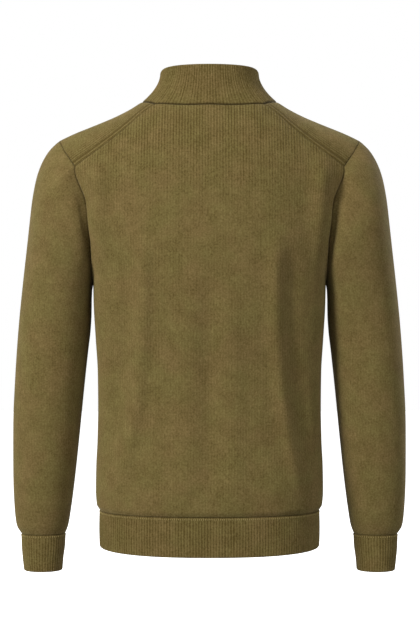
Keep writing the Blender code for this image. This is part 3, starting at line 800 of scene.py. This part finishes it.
class Sheet:
    """One cloth piece: its outer points, its cells, and the knit at their corners."""

    def __init__(self, name, grid, knit, closed=False, skip=None, wall=WALL):
        self.name = name
        self.wall = wall
        rows, columns = grid.shape[:2]
        used = np.ones((rows - 1, columns if closed else columns - 1), bool)
        if skip is not None:
            used &= ~skip
        row, column = np.nonzero(used)
        after = (column + 1) % columns
        corners = [(row, column), (row, after), (row + 1, after), (row + 1, column)]
        quads = np.stack([r * columns + c for r, c in corners], axis=1)
        knit_corners = [(row, column), (row, column + 1), (row + 1, column + 1), (row + 1, column)]
        self.knit = np.stack([knit[r, c] for r, c in knit_corners], axis=1)
        kept, self.quads = np.unique(quads, return_inverse=True)
        self.quads = self.quads.reshape(-1, 4)
        self.points = grid.reshape(-1, 3)[kept]
        self.place = kept
        self.columns = columns
        self.edges = self.free_edges()
        self.normals = self.find_normals()

    def free_edges(self):
        """Each free edge as its two points, and the two points across its cell."""
        q = self.quads
        sides = np.concatenate([q, np.roll(q, -1, 1), np.roll(q, -2, 1), np.roll(q, -3, 1)])
        low = np.minimum(sides[:, 0], sides[:, 1]).astype(np.int64)
        high = np.maximum(sides[:, 0], sides[:, 1])
        key = low * (len(self.points) + 1) + high
        _, first, count = np.unique(key, return_index=True, return_counts=True)
        return sides[first[count == 1]]

    def find_normals(self):
        """Unit normals that point out of the cloth's outer side."""
        a, b, c, d = (self.points[self.quads[:, i]] for i in range(4))
        face = np.cross(c - a, d - b)
        normals = np.zeros_like(self.points)
        for i in range(4):
            np.add.at(normals, self.quads[:, i], face)
        length = np.linalg.norm(normals, axis=1)[:, None]
        return normals / np.where(length > 0, length, 1)

    def pull_edges(self, gap):
        """Draws the free edges back from their seams."""
        moves = np.zeros_like(self.points)
        for edge, across in ((0, 3), (1, 2)):
            way = self.points[self.edges[:, across]] - self.points[self.edges[:, edge]]
            way /= np.maximum(np.linalg.norm(way, axis=1)[:, None], 1e-6)
            np.add.at(moves, self.edges[:, edge], way)
        length = np.linalg.norm(moves, axis=1)[:, None]
        self.points = self.points + moves / np.maximum(length, 1) * gap

    def edge_distance(self, chosen):
        """Distance of each point to the chosen free edges."""
        ends = self.points[self.edges[chosen][:, :2]]
        shares = np.linspace(0, 0.9, 10)
        return near(self.points, np.concatenate([ends[:, 0] * (1 - t) + ends[:, 1] * t for t in shares]))


def share_normals(sheets):
    """Turns the cloth beside the seams so that pieces that meet lean the same way."""
    rims = [np.unique(sheet.edges[:, :2]) for sheet in sheets]
    places = np.concatenate([sheet.points[rim] for sheet, rim in zip(sheets, rims)])
    normals = np.concatenate([sheet.normals[rim] for sheet, rim in zip(sheets, rims)])
    tree = tree_of(places)
    for sheet, rim in zip(sheets, rims):
        leans = []
        for i in rim:
            around = tree.find_range(sheet.points[i], SEAM_SHARE)
            shared = sum(normals[j] * (1.001 - gap / SEAM_SHARE) for _, j, gap in around)
            leans.append(shared / np.linalg.norm(shared) - sheet.normals[i])
        own = tree_of(sheet.points[rim])
        for i, point in enumerate(sheet.points):
            _, nearest, distance = own.find(point)
            if distance < SEAM_LEAN:
                sheet.normals[i] += leans[nearest] * fade(1 - distance / SEAM_LEAN)
        sheet.normals /= np.linalg.norm(sheet.normals, axis=1)[:, None]


def roll(distance, width, depth):
    """How far an edge that rolls under has sunk, at a distance from it."""
    t = np.clip(1 - distance / width, 0, 1)
    return depth * (1 - np.sqrt(1 - t * t))


def rib_wave(sheet):
    """Height of the ribs at each point, from -1 to 1."""
    column = sheet.place % sheet.columns
    return np.cos(2 * math.pi * column / RIB_COLUMNS)


def add_object(name, data):
    """Makes an object in the scene."""
    item = bpy.data.objects.new(name, data)
    bpy.context.scene.collection.objects.link(item)
    return item


def add_mesh(name, points, faces, material, smooth_faces=True):
    """Makes a mesh object from points in millimetres."""
    mesh = bpy.data.meshes.new(name)
    mesh.from_pydata((np.asarray(points) * MM).tolist(), [], faces)
    mesh.materials.append(material)
    if smooth_faces:
        mesh.shade_smooth()
    return add_object(name, mesh)


def add_point_value(item, name, values):
    """Stores one number for each point of a mesh, for its material."""
    attribute = item.data.attributes.new(name, "FLOAT", "POINT")
    attribute.data.foreach_set("value", np.asarray(values, np.float32))


def add_knit(item, knit):
    """Stores the knit coordinates, in metres, at the corners of a mesh's faces."""
    layer = item.data.uv_layers.new(name="knit")
    layer.data.foreach_set("uv", (knit * MM).astype(np.float32).ravel())


def valley(sheet, seam, width):
    """How far the cloth sinks towards the lower part of the armhole's seam, behind the arm."""
    height = sheet.points[:, 2]
    reach = fade((VALLEY_TOP - height) / VALLEY_FADE) * fade((height - UNDERARM_HEIGHT) / VALLEY_FADE)
    behind = fade(sheet.points[:, 1] / VALLEY_BEHIND)
    return VALLEY_DEPTH * reach * behind * np.exp(-((seam / width) ** 2))


def back_relief(sheet, seam):
    """The back's edge beside the armhole: a welt that stands out, over the sunken seam."""
    height = sheet.points[:, 2]
    reach = fade((WELT_TOP - height) / WELT_FADE[0]) * fade((height - UNDERARM_HEIGHT) / WELT_FADE[1])
    stands = WELT[1] * reach * np.exp(-(((seam - WELT[0]) / WELT[2]) ** 2))
    return stands - valley(sheet, seam, VALLEY_BACK)


def sleeve_relief(sheet, seam):
    """The sleeve's slope down to the sunken seam."""
    return -valley(sheet, seam, VALLEY_SLEEVE)


def add_shell(sheet, outer, inner, material, smooth_faces=True):
    """Closes a sheet's outer and inner points into one wall, with faces along its rims."""
    count = len(outer)
    rims = [(b, a, a + count, b + count) for a, b in sheet.edges[:, :2].tolist()]
    faces = sheet.quads.tolist() + (sheet.quads[:, ::-1] + count).tolist() + rims
    points = np.concatenate([outer, inner])
    return add_mesh(sheet.name + CLOTH, points, faces, material, smooth_faces)


def add_wall(sheet, material, seam_roll, values, open_edges=None, ribs=0.0, neck=None, relief=None):
    """A sheet's closed wall, with rolled seams, rounded open edges and raised ribs."""
    far = np.full(len(sheet.points), FAR)
    if open_edges is None:
        open_edges = np.zeros(len(sheet.edges), bool)
    if neck is None:
        neck = far
    seam = sheet.edge_distance(~open_edges) if (~open_edges).any() else far
    lip = sheet.edge_distance(open_edges) if open_edges.any() else far
    sheet.pull_edges(SEAM_PULL)
    half = sheet.wall / 2
    rounding = roll(lip, half * LIP_ROUND[0], half * LIP_ROUND[1])
    down = np.maximum(roll(seam, *seam_roll), roll(neck, *NECK_ROLL)) + rounding
    raised = ribs * rib_wave(sheet) * fade(seam / RIB_ENDS[0]) * fade(lip / RIB_ENDS[1])
    if relief is not None:
        raised += relief(sheet, seam)
    outer = sheet.points + sheet.normals * (raised - down)[:, None]
    inner = sheet.points - sheet.normals * (sheet.wall - rounding - raised)[:, None]
    item = add_shell(sheet, outer, inner, material)
    add_knit(item, np.concatenate([sheet.knit, sheet.knit[:, ::-1], rim_knit(sheet)]))
    # Painted shade: the knit's colour darkens deep in each seam, most at the neck, where the seams'
    # hollows fall in shadow.
    seam_shadow_paint = SEAM_SHADE * fade(1 - seam / SEAM_SHADE_WIDTH)
    neck_shadow_paint = NECK_SHADE * fade(1 - neck / NECK_ROLL[0])
    add_point_value(item, "groove", np.tile(np.maximum(seam_shadow_paint, neck_shadow_paint), 2))
    for name, numbers in values.items():
        add_point_value(item, name, np.tile(numbers, 2))
    return item


def rim_knit(sheet):
    """Knit coordinates for the faces along the rims."""
    at = np.zeros((len(sheet.points), 2))
    at[sheet.quads.ravel()] = sheet.knit.reshape(-1, 2)
    a, b = at[sheet.edges[:, 0]], at[sheet.edges[:, 1]]
    step = np.array([0, WALL])
    return np.stack([b, a, a - step, b - step], axis=1)


def back_sheet():
    """The back panel, both halves."""
    field = back_half()
    points = torso_drop(field[..., 0], field[..., 1])
    knit = knit_of(field, points, 1)
    grid = np.concatenate([points[:, ::-1], mirrored(points[:, 1:])], axis=1)
    other = knit[:, 1:] * np.array([-1, 1])
    return Sheet("back_panel", grid, np.concatenate([knit[:, ::-1], other], axis=1))


def front_sheet():
    """The front panel, with its slit, and its strips over both shoulders."""
    field, neck_columns, strip_rows = front_half()
    points = torso_drop(field[..., 0], field[..., 1])
    middle = middle_columns(points)
    half = np.concatenate([middle, points], axis=1)
    knit = knit_of(field, points, -1)
    middle_knit = np.stack(np.broadcast_arrays(middle[..., 0], knit[:, :1, 1]), axis=-1)
    half_knit = np.concatenate([middle_knit, knit], axis=1) * np.array([1, -1])
    grid = np.concatenate([mirrored(half[:, :0:-1]), half], axis=1)
    flipped = half_knit[:, :0:-1] * np.array([-1, 1])
    knit = np.concatenate([flipped, half_knit], axis=1)
    rows, columns = grid.shape[:2]
    skip = np.zeros((rows - 1, columns - 1), bool)
    neck_row = rows - 1 - strip_rows
    centre = (columns - 1) // 2
    wide = middle.shape[1]
    skip[slit_row() : neck_row, centre - wide : centre + wide] = True
    reach = wide + neck_columns
    skip[neck_row:, centre - reach : centre + reach] = True
    return Sheet("front_panel", grid, knit, skip=skip)


def middle_columns(points):
    """Columns between the centre line and the slit's edge."""
    z = points[:, 0, 2]
    columns = []
    for across in np.linspace(0, SLIT_HALF, 3)[:-1]:
        turn = turn_at(across, z)
        columns.append(torso_drop(turn, drop_at(-1, turn, z)))
    return np.stack(columns, axis=1)


def sleeve_sheet(side):
    """One sleeve. The right one is the left one's mirror image."""
    rings = sleeve_rings()
    knit = sleeve_knit(rings)
    if side > 0:
        return Sheet("sleeve_left", rings, knit, closed=True)
    other = knit[:, ::-1] * np.array([-1, 1])
    return Sheet("sleeve_right", mirrored(rings)[:, ::-1], other, closed=True)


def cuff_sheet(side):
    """One cuff, mirrored as its sleeve is."""
    rings = cuff_rings()
    if side > 0:
        return Sheet("cuff_left", rings, band_knit(rings, True), closed=True)
    return Sheet("cuff_right", mirrored(rings)[:, ::-1], band_knit(rings, True), closed=True)


def hem_sheet():
    rings = hem_rings()
    return Sheet("hem_band", rings, band_knit(rings, True), closed=True)


def collar_sheet():
    half = collar_half()
    grid = np.concatenate([half, mirrored(half[:, ::-1])[:, 1:]], axis=1)
    return Sheet("collar", grid, band_knit(grid, False), wall=COLLAR_WALL)


# Linking stitches and zip


def bead(around=8, rows=5):
    """A round bead of radius 1: its points and faces."""
    points = [(0, 0, 1)]
    for i in range(1, rows):
        polar = math.pi * i / rows
        for j in range(around):
            angle = 2 * math.pi * j / around
            out = math.sin(polar)
            points.append((out * math.cos(angle), out * math.sin(angle), math.cos(polar)))
    points.append((0, 0, -1))
    last = len(points) - 1
    faces = []
    for j in range(around):
        after = (j + 1) % around
        faces.append((0, 1 + j, 1 + after))
        for i in range(rows - 2):
            upper, lower = 1 + i * around, 1 + (i + 1) * around
            faces.append((upper + j, lower + j, lower + after, upper + after))
        foot = 1 + (rows - 2) * around
        faces.append((foot + j, last, foot + after))
    return np.array(points), faces


def add_copies(name, shape, places, material):
    """Many copies of a shape, each placed by its middle and three half sizes."""
    points, faces = shape
    all_points, all_faces = [], []
    for middle, axes in places:
        start = len(all_points) * len(points)
        all_points.append(middle + points @ np.array(axes))
        all_faces += [tuple(start + i for i in face) for face in faces]
    return add_mesh(name, np.concatenate(all_points), all_faces, material)


def add_stitches(name, ring, pitch, material):
    """The linking stitches along a band: an upright bead for each loop on a closed ring."""
    closed = np.concatenate([ring, ring[:1]])
    count = round(path_length(closed)[-1] / pitch)
    line = spread(closed, np.linspace(0, 1, count + 1))
    middle = ring.mean(axis=0)
    places = []
    for before, here in zip(line, line[1:]):
        way = (here - before) / np.linalg.norm(here - before)
        out = np.cross(way, UP)
        out /= np.linalg.norm(out)
        out *= np.sign(out @ (here - middle))
        uneven = UNEVEN[0] + UNEVEN[1] * (len(places) * UNEVEN[2] % 1)
        axes = (way * STITCH[0], out * STITCH[1], np.array(UP) * STITCH[2] * uneven)
        places.append((here + out * STITCH_PROUD, axes))
    return add_copies(name, bead(), places, material)


def zip_rows():
    """The cloth on the zip's left, in rows from below the slit to the collar's top."""
    field, _, strip_rows = front_half()
    points = torso_drop(field[..., 0], field[..., 1])
    panel = points[slit_row() - ZIP_FOOT_ROWS : len(points) - strip_rows, :ZIP_COLUMNS]
    return np.concatenate([panel, collar_half()[1:, :ZIP_COLUMNS]])


def zip_line():
    """The zip evenly upward: its centre line, the ways up and out, and the cloth beside it."""
    rows = zip_rows()
    edge = rows[:, 0] * [0, 1, 1]
    length = path_length(edge)
    steps = np.linspace(0, length[-1], round(length[-1] / TAPE_CELL) + 1)
    columns = rows.transpose(1, 2, 0)
    beside = np.array([[np.interp(steps, length, line) for line in column] for column in columns])
    beside = beside.transpose(2, 0, 1)
    middle = beside[:, 0] * [0, 1, 1]
    up = np.gradient(middle, axis=0)
    up /= np.linalg.norm(up, axis=1)[:, None]
    out = np.cross(up, [1, 0, 0])
    out *= -np.sign(out[:, 1:2])
    return middle, up, out, beside


def cloth_at(height):
    """Thickness of the cloth in front of the zip at a height."""
    return WALL + (COLLAR_WALL - WALL) * fade((height - COLLAR_FOOT) / COLLAR_FOOT_FADE)


def tape_sheet(side):
    """One tape: behind the cloth, from beside the teeth to its sewn edge."""
    _, _, out, beside = zip_line()
    depth = cloth_at(beside[:, 0, 2])[:, None] + TAPE_CLEAR
    columns = []
    for x in np.linspace(TAPE_INNER, TAPE_OUTER, TAPE_COLUMNS):
        place = np.array([[np.interp(x, row[:, 0], row[:, i]) for i in range(3)] for row in beside])
        place[:, 0] = x
        columns.append(place - out * depth)
    grid = np.stack(columns, axis=1)
    name = "zip_tape_left"
    if side < 0:
        grid = mirrored(grid)[:, ::-1]
        name = "zip_tape_right"
    return Sheet(name, grid, band_knit(grid, False), wall=TAPE_THICK)


def add_tape(side, material):
    """A tape's thin closed wall."""
    sheet = tape_sheet(side)
    inner = sheet.points - sheet.normals * sheet.wall
    return add_shell(sheet, sheet.points, inner, material, False)


def at_length(rows, length, at):
    """Reads rows of numbers given at lengths along a line, at one length."""
    return np.array([np.interp(at, length, column) for column in rows.T])


def add_teeth(side, material):
    """Teeth along one tape: closed and interlocking below the slider, a little apart above it."""
    middle, up, out, _ = zip_line()
    length = path_length(middle)
    low = TEETH_START + (0.5 * TOOTH_PITCH if side < 0 else 0.0)
    slider = length[-1] - COLLAR_HEIGHT * (1 - SLIDER_ROW)
    places = []
    for at in np.arange(low, length[-1] - TEETH_END, TOOTH_PITCH):
        here, way, outward = (at_length(rows, length, at) for rows in (middle, up, out))
        inner = TOOTH_REACH[0] if at < slider - SLIDER_CLEAR else TOOTH_REACH[1]
        half = (TOOTH_REACH[2] - inner) / 2
        depth = cloth_at(here[2]) + TAPE_CLEAR + TAPE_THICK / 2
        centre = here + np.array([side * (inner + half), 0, 0]) - outward * depth
        axes = (np.array([half, 0, 0]), outward * TOOTH_HALF[1], way * TOOTH_HALF[0])
        places.append((centre, axes))
    name = "zip_teeth_left" if side > 0 else "zip_teeth_right"
    return add_copies(name, bead(8, 4), places, material)


# Materials


def fill(node, values):
    """Sets a node's own sockets by name."""
    for name, value in values.items():
        node.inputs[name].default_value = value


class Graph:
    """Builds one material's nodes."""

    def __init__(self, name):
        self.material = bpy.data.materials.new(name)
        self.material.use_nodes = True
        self.nodes = self.material.node_tree.nodes
        self.links = self.material.node_tree.links
        self.shader = self.nodes["Principled BSDF"]

    def node(self, kind, inputs=(), **settings):
        made = self.nodes.new(kind)
        for name, value in settings.items():
            setattr(made, name, value)
        for place, value in enumerate(inputs):
            self.put(made.inputs[place], value)
        return made

    def put(self, socket, value):
        """Links a socket, or sets its value."""
        if isinstance(value, bpy.types.NodeSocket):
            self.links.new(value, socket)
        elif value is not None:
            socket.default_value = value

    def math(self, operation, *values):
        return self.node("ShaderNodeMath", values, operation=operation).outputs[0]

    def value(self, name):
        return self.node("ShaderNodeAttribute", attribute_name=name).outputs["Fac"]

    def noise(self, vector, scale, detail=2.0):
        made = self.node("ShaderNodeTexNoise")
        self.put(made.inputs["Vector"], vector)
        fill(made, {"Scale": scale, "Detail": detail})
        return made.outputs["Fac"]

    def mix(self, share, first, second):
        made = self.node("ShaderNodeMix", data_type="RGBA")
        self.put(made.inputs["Factor"], share)
        self.put(made.inputs["A"], first)
        self.put(made.inputs["B"], second)
        return made.outputs["Result"]

    def map(self, value, low, high, to_low, to_high):
        made = self.node("ShaderNodeMapRange", (value, low, high, to_low, to_high))
        return made.outputs[0]


def knit_material(name, rib_height, rib_shade):
    """Matt heathered cotton knit: ribs, stitches, flecks and fuzz, with painted shade between the ribs,
    along the strip's grooves and deep in the seams.
    """
    g = Graph(name)
    uv = g.node("ShaderNodeUVMap", uv_map="knit").outputs[0]
    parts = g.node("ShaderNodeSeparateXYZ", (uv,)).outputs
    across, up = parts[0], parts[1]
    wander = wander_of(g, across, up)
    rib = rib_profile(g, across, wander)
    stitch = stitch_profile(g, across, up)
    strip = strip_lines(g)
    where = g.node("ShaderNodeTexCoord").outputs["Object"]
    flecks = g.noise(where, *FLECKS)
    patches = g.noise(where, *PATCHES)
    amount = g.math("MULTIPLY", g.value("rib"), g.map(wander, 0.35, 0.65, 0.7, 1.2))
    # Painted shade: the colour darkens between the ribs, where their hollows fall in shadow.
    shade = g.math("MULTIPLY", g.math("SUBTRACT", 1.0, rib), g.math("MULTIPLY", amount, rib_shade))
    # light is the knit's lightness: its flecks and patches, less the painted shade below.
    light = g.map(flecks, 0.3, 0.7, 0.25, 0.95)
    light = g.math("ADD", light, g.map(patches, 0.3, 0.7, -0.12, 0.12))
    light = g.math("SUBTRACT", light, shade)
    # Painted shade: the colour darkens along the strip's grooves and its tuck line.
    light = g.math("SUBTRACT", light, g.math("MULTIPLY", strip, 1.05))
    tint = g.map(g.noise(where, *TINTS), 0.35, 0.65, 0.0, 1.0)
    colour = g.mix(light, KNIT_DARK, g.mix(tint, KNIT_GREEN, KNIT_WARM))
    # Painted shade: the colour turns dark deep in the seams
    g.put(g.shader.inputs["Base Color"], g.mix(g.value("groove"), colour, PAINTED_SHADOW_COLOUR))
    height = g.math("MULTIPLY", rib, g.math("MULTIPLY", amount, rib_height))
    height = g.math("ADD", height, g.math("MULTIPLY", stitch, 0.12))
    height = g.math("ADD", height, g.math("MULTIPLY", flecks, 0.10))
    height = g.math("SUBTRACT", height, g.math("MULTIPLY", strip, 0.8))
    bump = g.node("ShaderNodeBump")
    fill(bump, {"Strength": 1.0, "Distance": MM})
    g.put(bump.inputs["Height"], height)
    g.put(g.shader.inputs["Normal"], bump.outputs[0])
    fill(g.shader, MATT)
    return g.material


def wander_of(g, across, up):
    """Slow unevenness of the ribs, long along them and short across."""
    slow = g.math("MULTIPLY", up, 0.08)
    return g.noise(g.node("ShaderNodeCombineXYZ", (across, slow)).outputs[0], 130.0)


def rib_profile(g, across, wander):
    """Height of the ribs, from 0 between them to 1 on a rib."""
    moved = g.math("MULTIPLY_ADD", wander, 0.0011, across)
    phase = g.math("MULTIPLY", moved, 2 * math.pi / (RIB_PITCH * MM))
    wave = g.math("COSINE", phase)
    wave = g.math("MULTIPLY_ADD", wave, 0.5, 0.5)
    return g.math("POWER", wave, 0.85)


def strip_lines(g):
    """Grooves along the shoulder seam on the front's strip, from 0 to 1. They sink the cloth as bumps
    and darken its colour as painted shade.
    """
    distance = g.value("yoke")
    wave = g.math("COSINE", g.math("MULTIPLY", distance, 2 * math.pi / (RIB_PITCH * MM)))
    wave = g.math("MULTIPLY_ADD", wave, -0.5, 0.5)
    faint = g.math("MULTIPLY", wave, g.map(distance, 0.008, 0.036, 0.6, 0.0))
    off = g.math("ABSOLUTE", g.math("SUBTRACT", distance, YOKE_TUCK * MM))
    tuck = g.map(off, 0.0008, 0.0021, 1.0, 0.0)
    return g.math("MULTIPLY", g.math("MAXIMUM", faint, tuck), g.value("strip"))


def stitch_profile(g, across, up):
    """Height of the stitches: columns of small V shapes."""
    wale = g.math("DIVIDE", across, WALE * MM)
    place = g.math("FRACT", wale)
    arm = g.math("ABSOLUTE", g.math("SUBTRACT", place, 0.5))
    lean = g.math("MULTIPLY_ADD", up, 1 / (COURSE * MM), g.math("MULTIPLY", arm, 1.3))
    loops = g.math("COSINE", g.math("MULTIPLY", lean, 2 * math.pi))
    loops = g.math("MULTIPLY_ADD", loops, 0.5, 0.5)
    sides = g.math("SINE", g.math("MULTIPLY", g.math("FRACT", g.math("MULTIPLY", wale, 2.0)), math.pi))
    return g.math("MULTIPLY", loops, sides)


def thread_material():
    """The linking thread's matt yarn, a little lighter than the knit."""
    g = Graph("linking_yarn")
    where = g.node("ShaderNodeTexCoord").outputs["Object"]
    twist = g.noise(where, 900.0, 2.0)
    g.put(g.shader.inputs["Base Color"], g.mix(twist, YARN_DARK, YARN_LIGHT))
    fill(g.shader, {"Roughness": 0.9, "Specular IOR Level": 0.2})
    return g.material


def plain_material(name, colour, roughness, metallic=0.0):
    """A slightly mottled plain finish."""
    g = Graph(name)
    where = g.node("ShaderNodeTexCoord").outputs["Object"]
    spots = g.noise(where, 700.0, 3.0)
    dark = tuple(0.75 * c for c in colour) + (1,)
    g.put(g.shader.inputs["Base Color"], g.mix(spots, dark, colour + (1,)))
    g.put(g.shader.inputs["Roughness"], g.map(spots, 0.3, 0.7, roughness - 0.06, roughness + 0.06))
    fill(g.shader, {"Metallic": metallic})
    return g.material


# Stage


def add_floor():
    """A pale floor well below the hem, plain to the eye and lending the cloth no light."""
    corners = [(x, y, FLOOR_HEIGHT) for x, y in ((-1, -1), (1, -1), (1, 1), (-1, 1))]
    corners = np.array(corners) * (FLOOR_HALF, FLOOR_HALF, 1) / MM
    g = Graph("floor")
    fill(g.shader, {"Base Color": PALE, "Emission Color": WHITE, "Emission Strength": 1.0})
    floor = add_mesh("floor", corners, [(0, 1, 2, 3)], g.material, False)
    floor.visible_diffuse = False
    floor.visible_glossy = False


def add_world():
    """White surroundings for the eye, with a lower even light for the cloth."""
    world = bpy.data.worlds.new("studio")
    bpy.context.scene.world = world
    world.use_nodes = True
    nodes, links = world.node_tree.nodes, world.node_tree.links
    output = nodes["World Output"]
    seen = nodes["Background"]
    fill(seen, {"Color": WHITE, "Strength": 1.0})
    even = nodes.new("ShaderNodeBackground")
    fill(even, {"Color": WHITE, "Strength": AMBIENT})
    path = nodes.new("ShaderNodeLightPath")
    mix = nodes.new("ShaderNodeMixShader")
    links.new(path.outputs["Is Camera Ray"], mix.inputs[0])
    links.new(even.outputs[0], mix.inputs[1])
    links.new(seen.outputs[0], mix.inputs[2])
    links.new(mix.outputs[0], output.inputs[0])


def add_lights():
    for name, (place, size, power) in LIGHTS.items():
        light = bpy.data.lights.new(name, "AREA")
        light.shape = "DISK"
        light.size = size
        light.energy = power
        item = add_object(name, light)
        item.location = place
        item.rotation_euler = (TARGET - Vector(place)).to_track_quat("-Z", "Y").to_euler()


def add_camera():
    """Level behind the sweater, with its whole height in view."""
    camera = bpy.data.cameras.new("camera")
    camera.sensor_width = SENSOR
    camera.lens = SENSOR * CAMERA_DISTANCE / VIEW_HEIGHT
    item = add_object("camera", camera)
    item.location = (VIEW_ACROSS, CAMERA_DISTANCE, VIEW_CENTRE)
    item.rotation_euler = (math.pi / 2, 0, math.pi)
    bpy.context.scene.camera = item


def main():
    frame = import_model()
    bpy.context.scene.view_settings.view_transform = "Standard"
    add_world()
    add_lights()
    add_camera()
    add_floor()
    add_cloth()
    add_zip(frame)


def add_zip(frame):
    """Tapes, teeth, and the finish of the slider, the pull tab and the stop."""
    tape = plain_material("zip_tape", TAPE_COLOUR, 0.8)
    metal = plain_material("brass", BRASS, 0.32, 1.0)
    for side in SIDES:
        add_piece(add_tape(side, tape))
        add_trim(add_teeth(side, metal))
    for name in ("zip_slider", "zip_pull", "zip_stop"):
        item = frame["nodes"][name]
        item.data.materials[0] = metal
        round_edges(item)


def round_edges(item):
    """Softens a metal part's edges."""
    bevel = item.modifiers.new("edges", "BEVEL")
    bevel.width = METAL_EDGE * MM
    bevel.segments = 3
    bevel.limit_method = "ANGLE"


def add_cloth():
    """The eight cloth pieces and the stitches that link their bands."""
    body_knit = knit_material("body_knit", 0.45, 0.54)
    rib_knit = knit_material("rib_knit", 0.35, 0.74)
    yarn = thread_material()
    back, front, collar, hem = back_sheet(), front_sheet(), collar_sheet(), hem_sheet()
    sleeves = [sleeve_sheet(side) for side in SIDES]
    cuffs = [cuff_sheet(side) for side in SIDES]
    share_normals([back, front, collar, hem, *sleeves, *cuffs])
    neck = both_sides(neck_line())

    body = (body_knit, SEAM_ROLL)
    values = {"rib": rib_amount(back.points[:, 2])}
    gap = near(back.points, neck)
    add_piece(add_wall(back, *body, values, neck=gap, relief=back_relief))
    gap = near(front.points, neck)
    add_piece(add_wall(front, *body, front_values(front), neck=gap))
    for sheet in sleeves:
        values = {"rib": np.full(len(sheet.points), SLEEVE_RIB)}
        add_piece(add_wall(sheet, *body, values, relief=sleeve_relief))
    for sheet in (hem, *cuffs, collar):
        values = {"rib": np.full(len(sheet.points), BAND_RIB)}
        gap = near(sheet.points, neck) if sheet is collar else None
        wall = add_wall(sheet, rib_knit, BAND_ROLL, values, folded_edges(sheet), BAND_RIBS, gap)
        add_piece(wall)

    for side, name in zip(SIDES, ("cuff_links_left", "cuff_links_right")):
        ring = cuff_rings()[LINK_ROW] * np.array([side, 1, 1])
        add_trim(add_stitches(name, ring, CUFF_LINK_PITCH, yarn))
    add_trim(add_stitches("hem_links", hem_rings()[-1 - LINK_ROW], HEM_LINK_PITCH, yarn))


def front_values(front):
    """The front's ribs, its strip over the shoulder, and the distance to the yoke's seam."""
    strip = fade(front.points[:, 1] / STRIP_START)
    rib = rib_amount(front.points[:, 2]) * (1 - STRIP_RIB * strip)
    yoke = near(front.points, both_sides(yoke_line())) * MM
    return {"rib": rib, "strip": strip, "yoke": yoke}


def folded_edges(band):
    """Which free edges of a band are its folded edge, away from the seam."""
    row = band.place // band.columns
    folded = 0 if band.name == "hem_band" else row.max()
    return (row[band.edges[:, :2]] == folded).all(axis=1)


def rib_amount(height):
    """Ribs stand out most over the shoulders and fade a little down the body."""
    return RIB_LEAST + (1 - RIB_LEAST) * fade((height - RIB_LOW) / RIB_RISE)


def add_piece(item):
    """A cloth piece stands for the CAD node of its name."""
    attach(item, "garment")
    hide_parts(item.name.removesuffix(CLOTH))


def add_trim(item):
    """A piece that shows only here rides on the garment."""
    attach(item, "garment")


main()
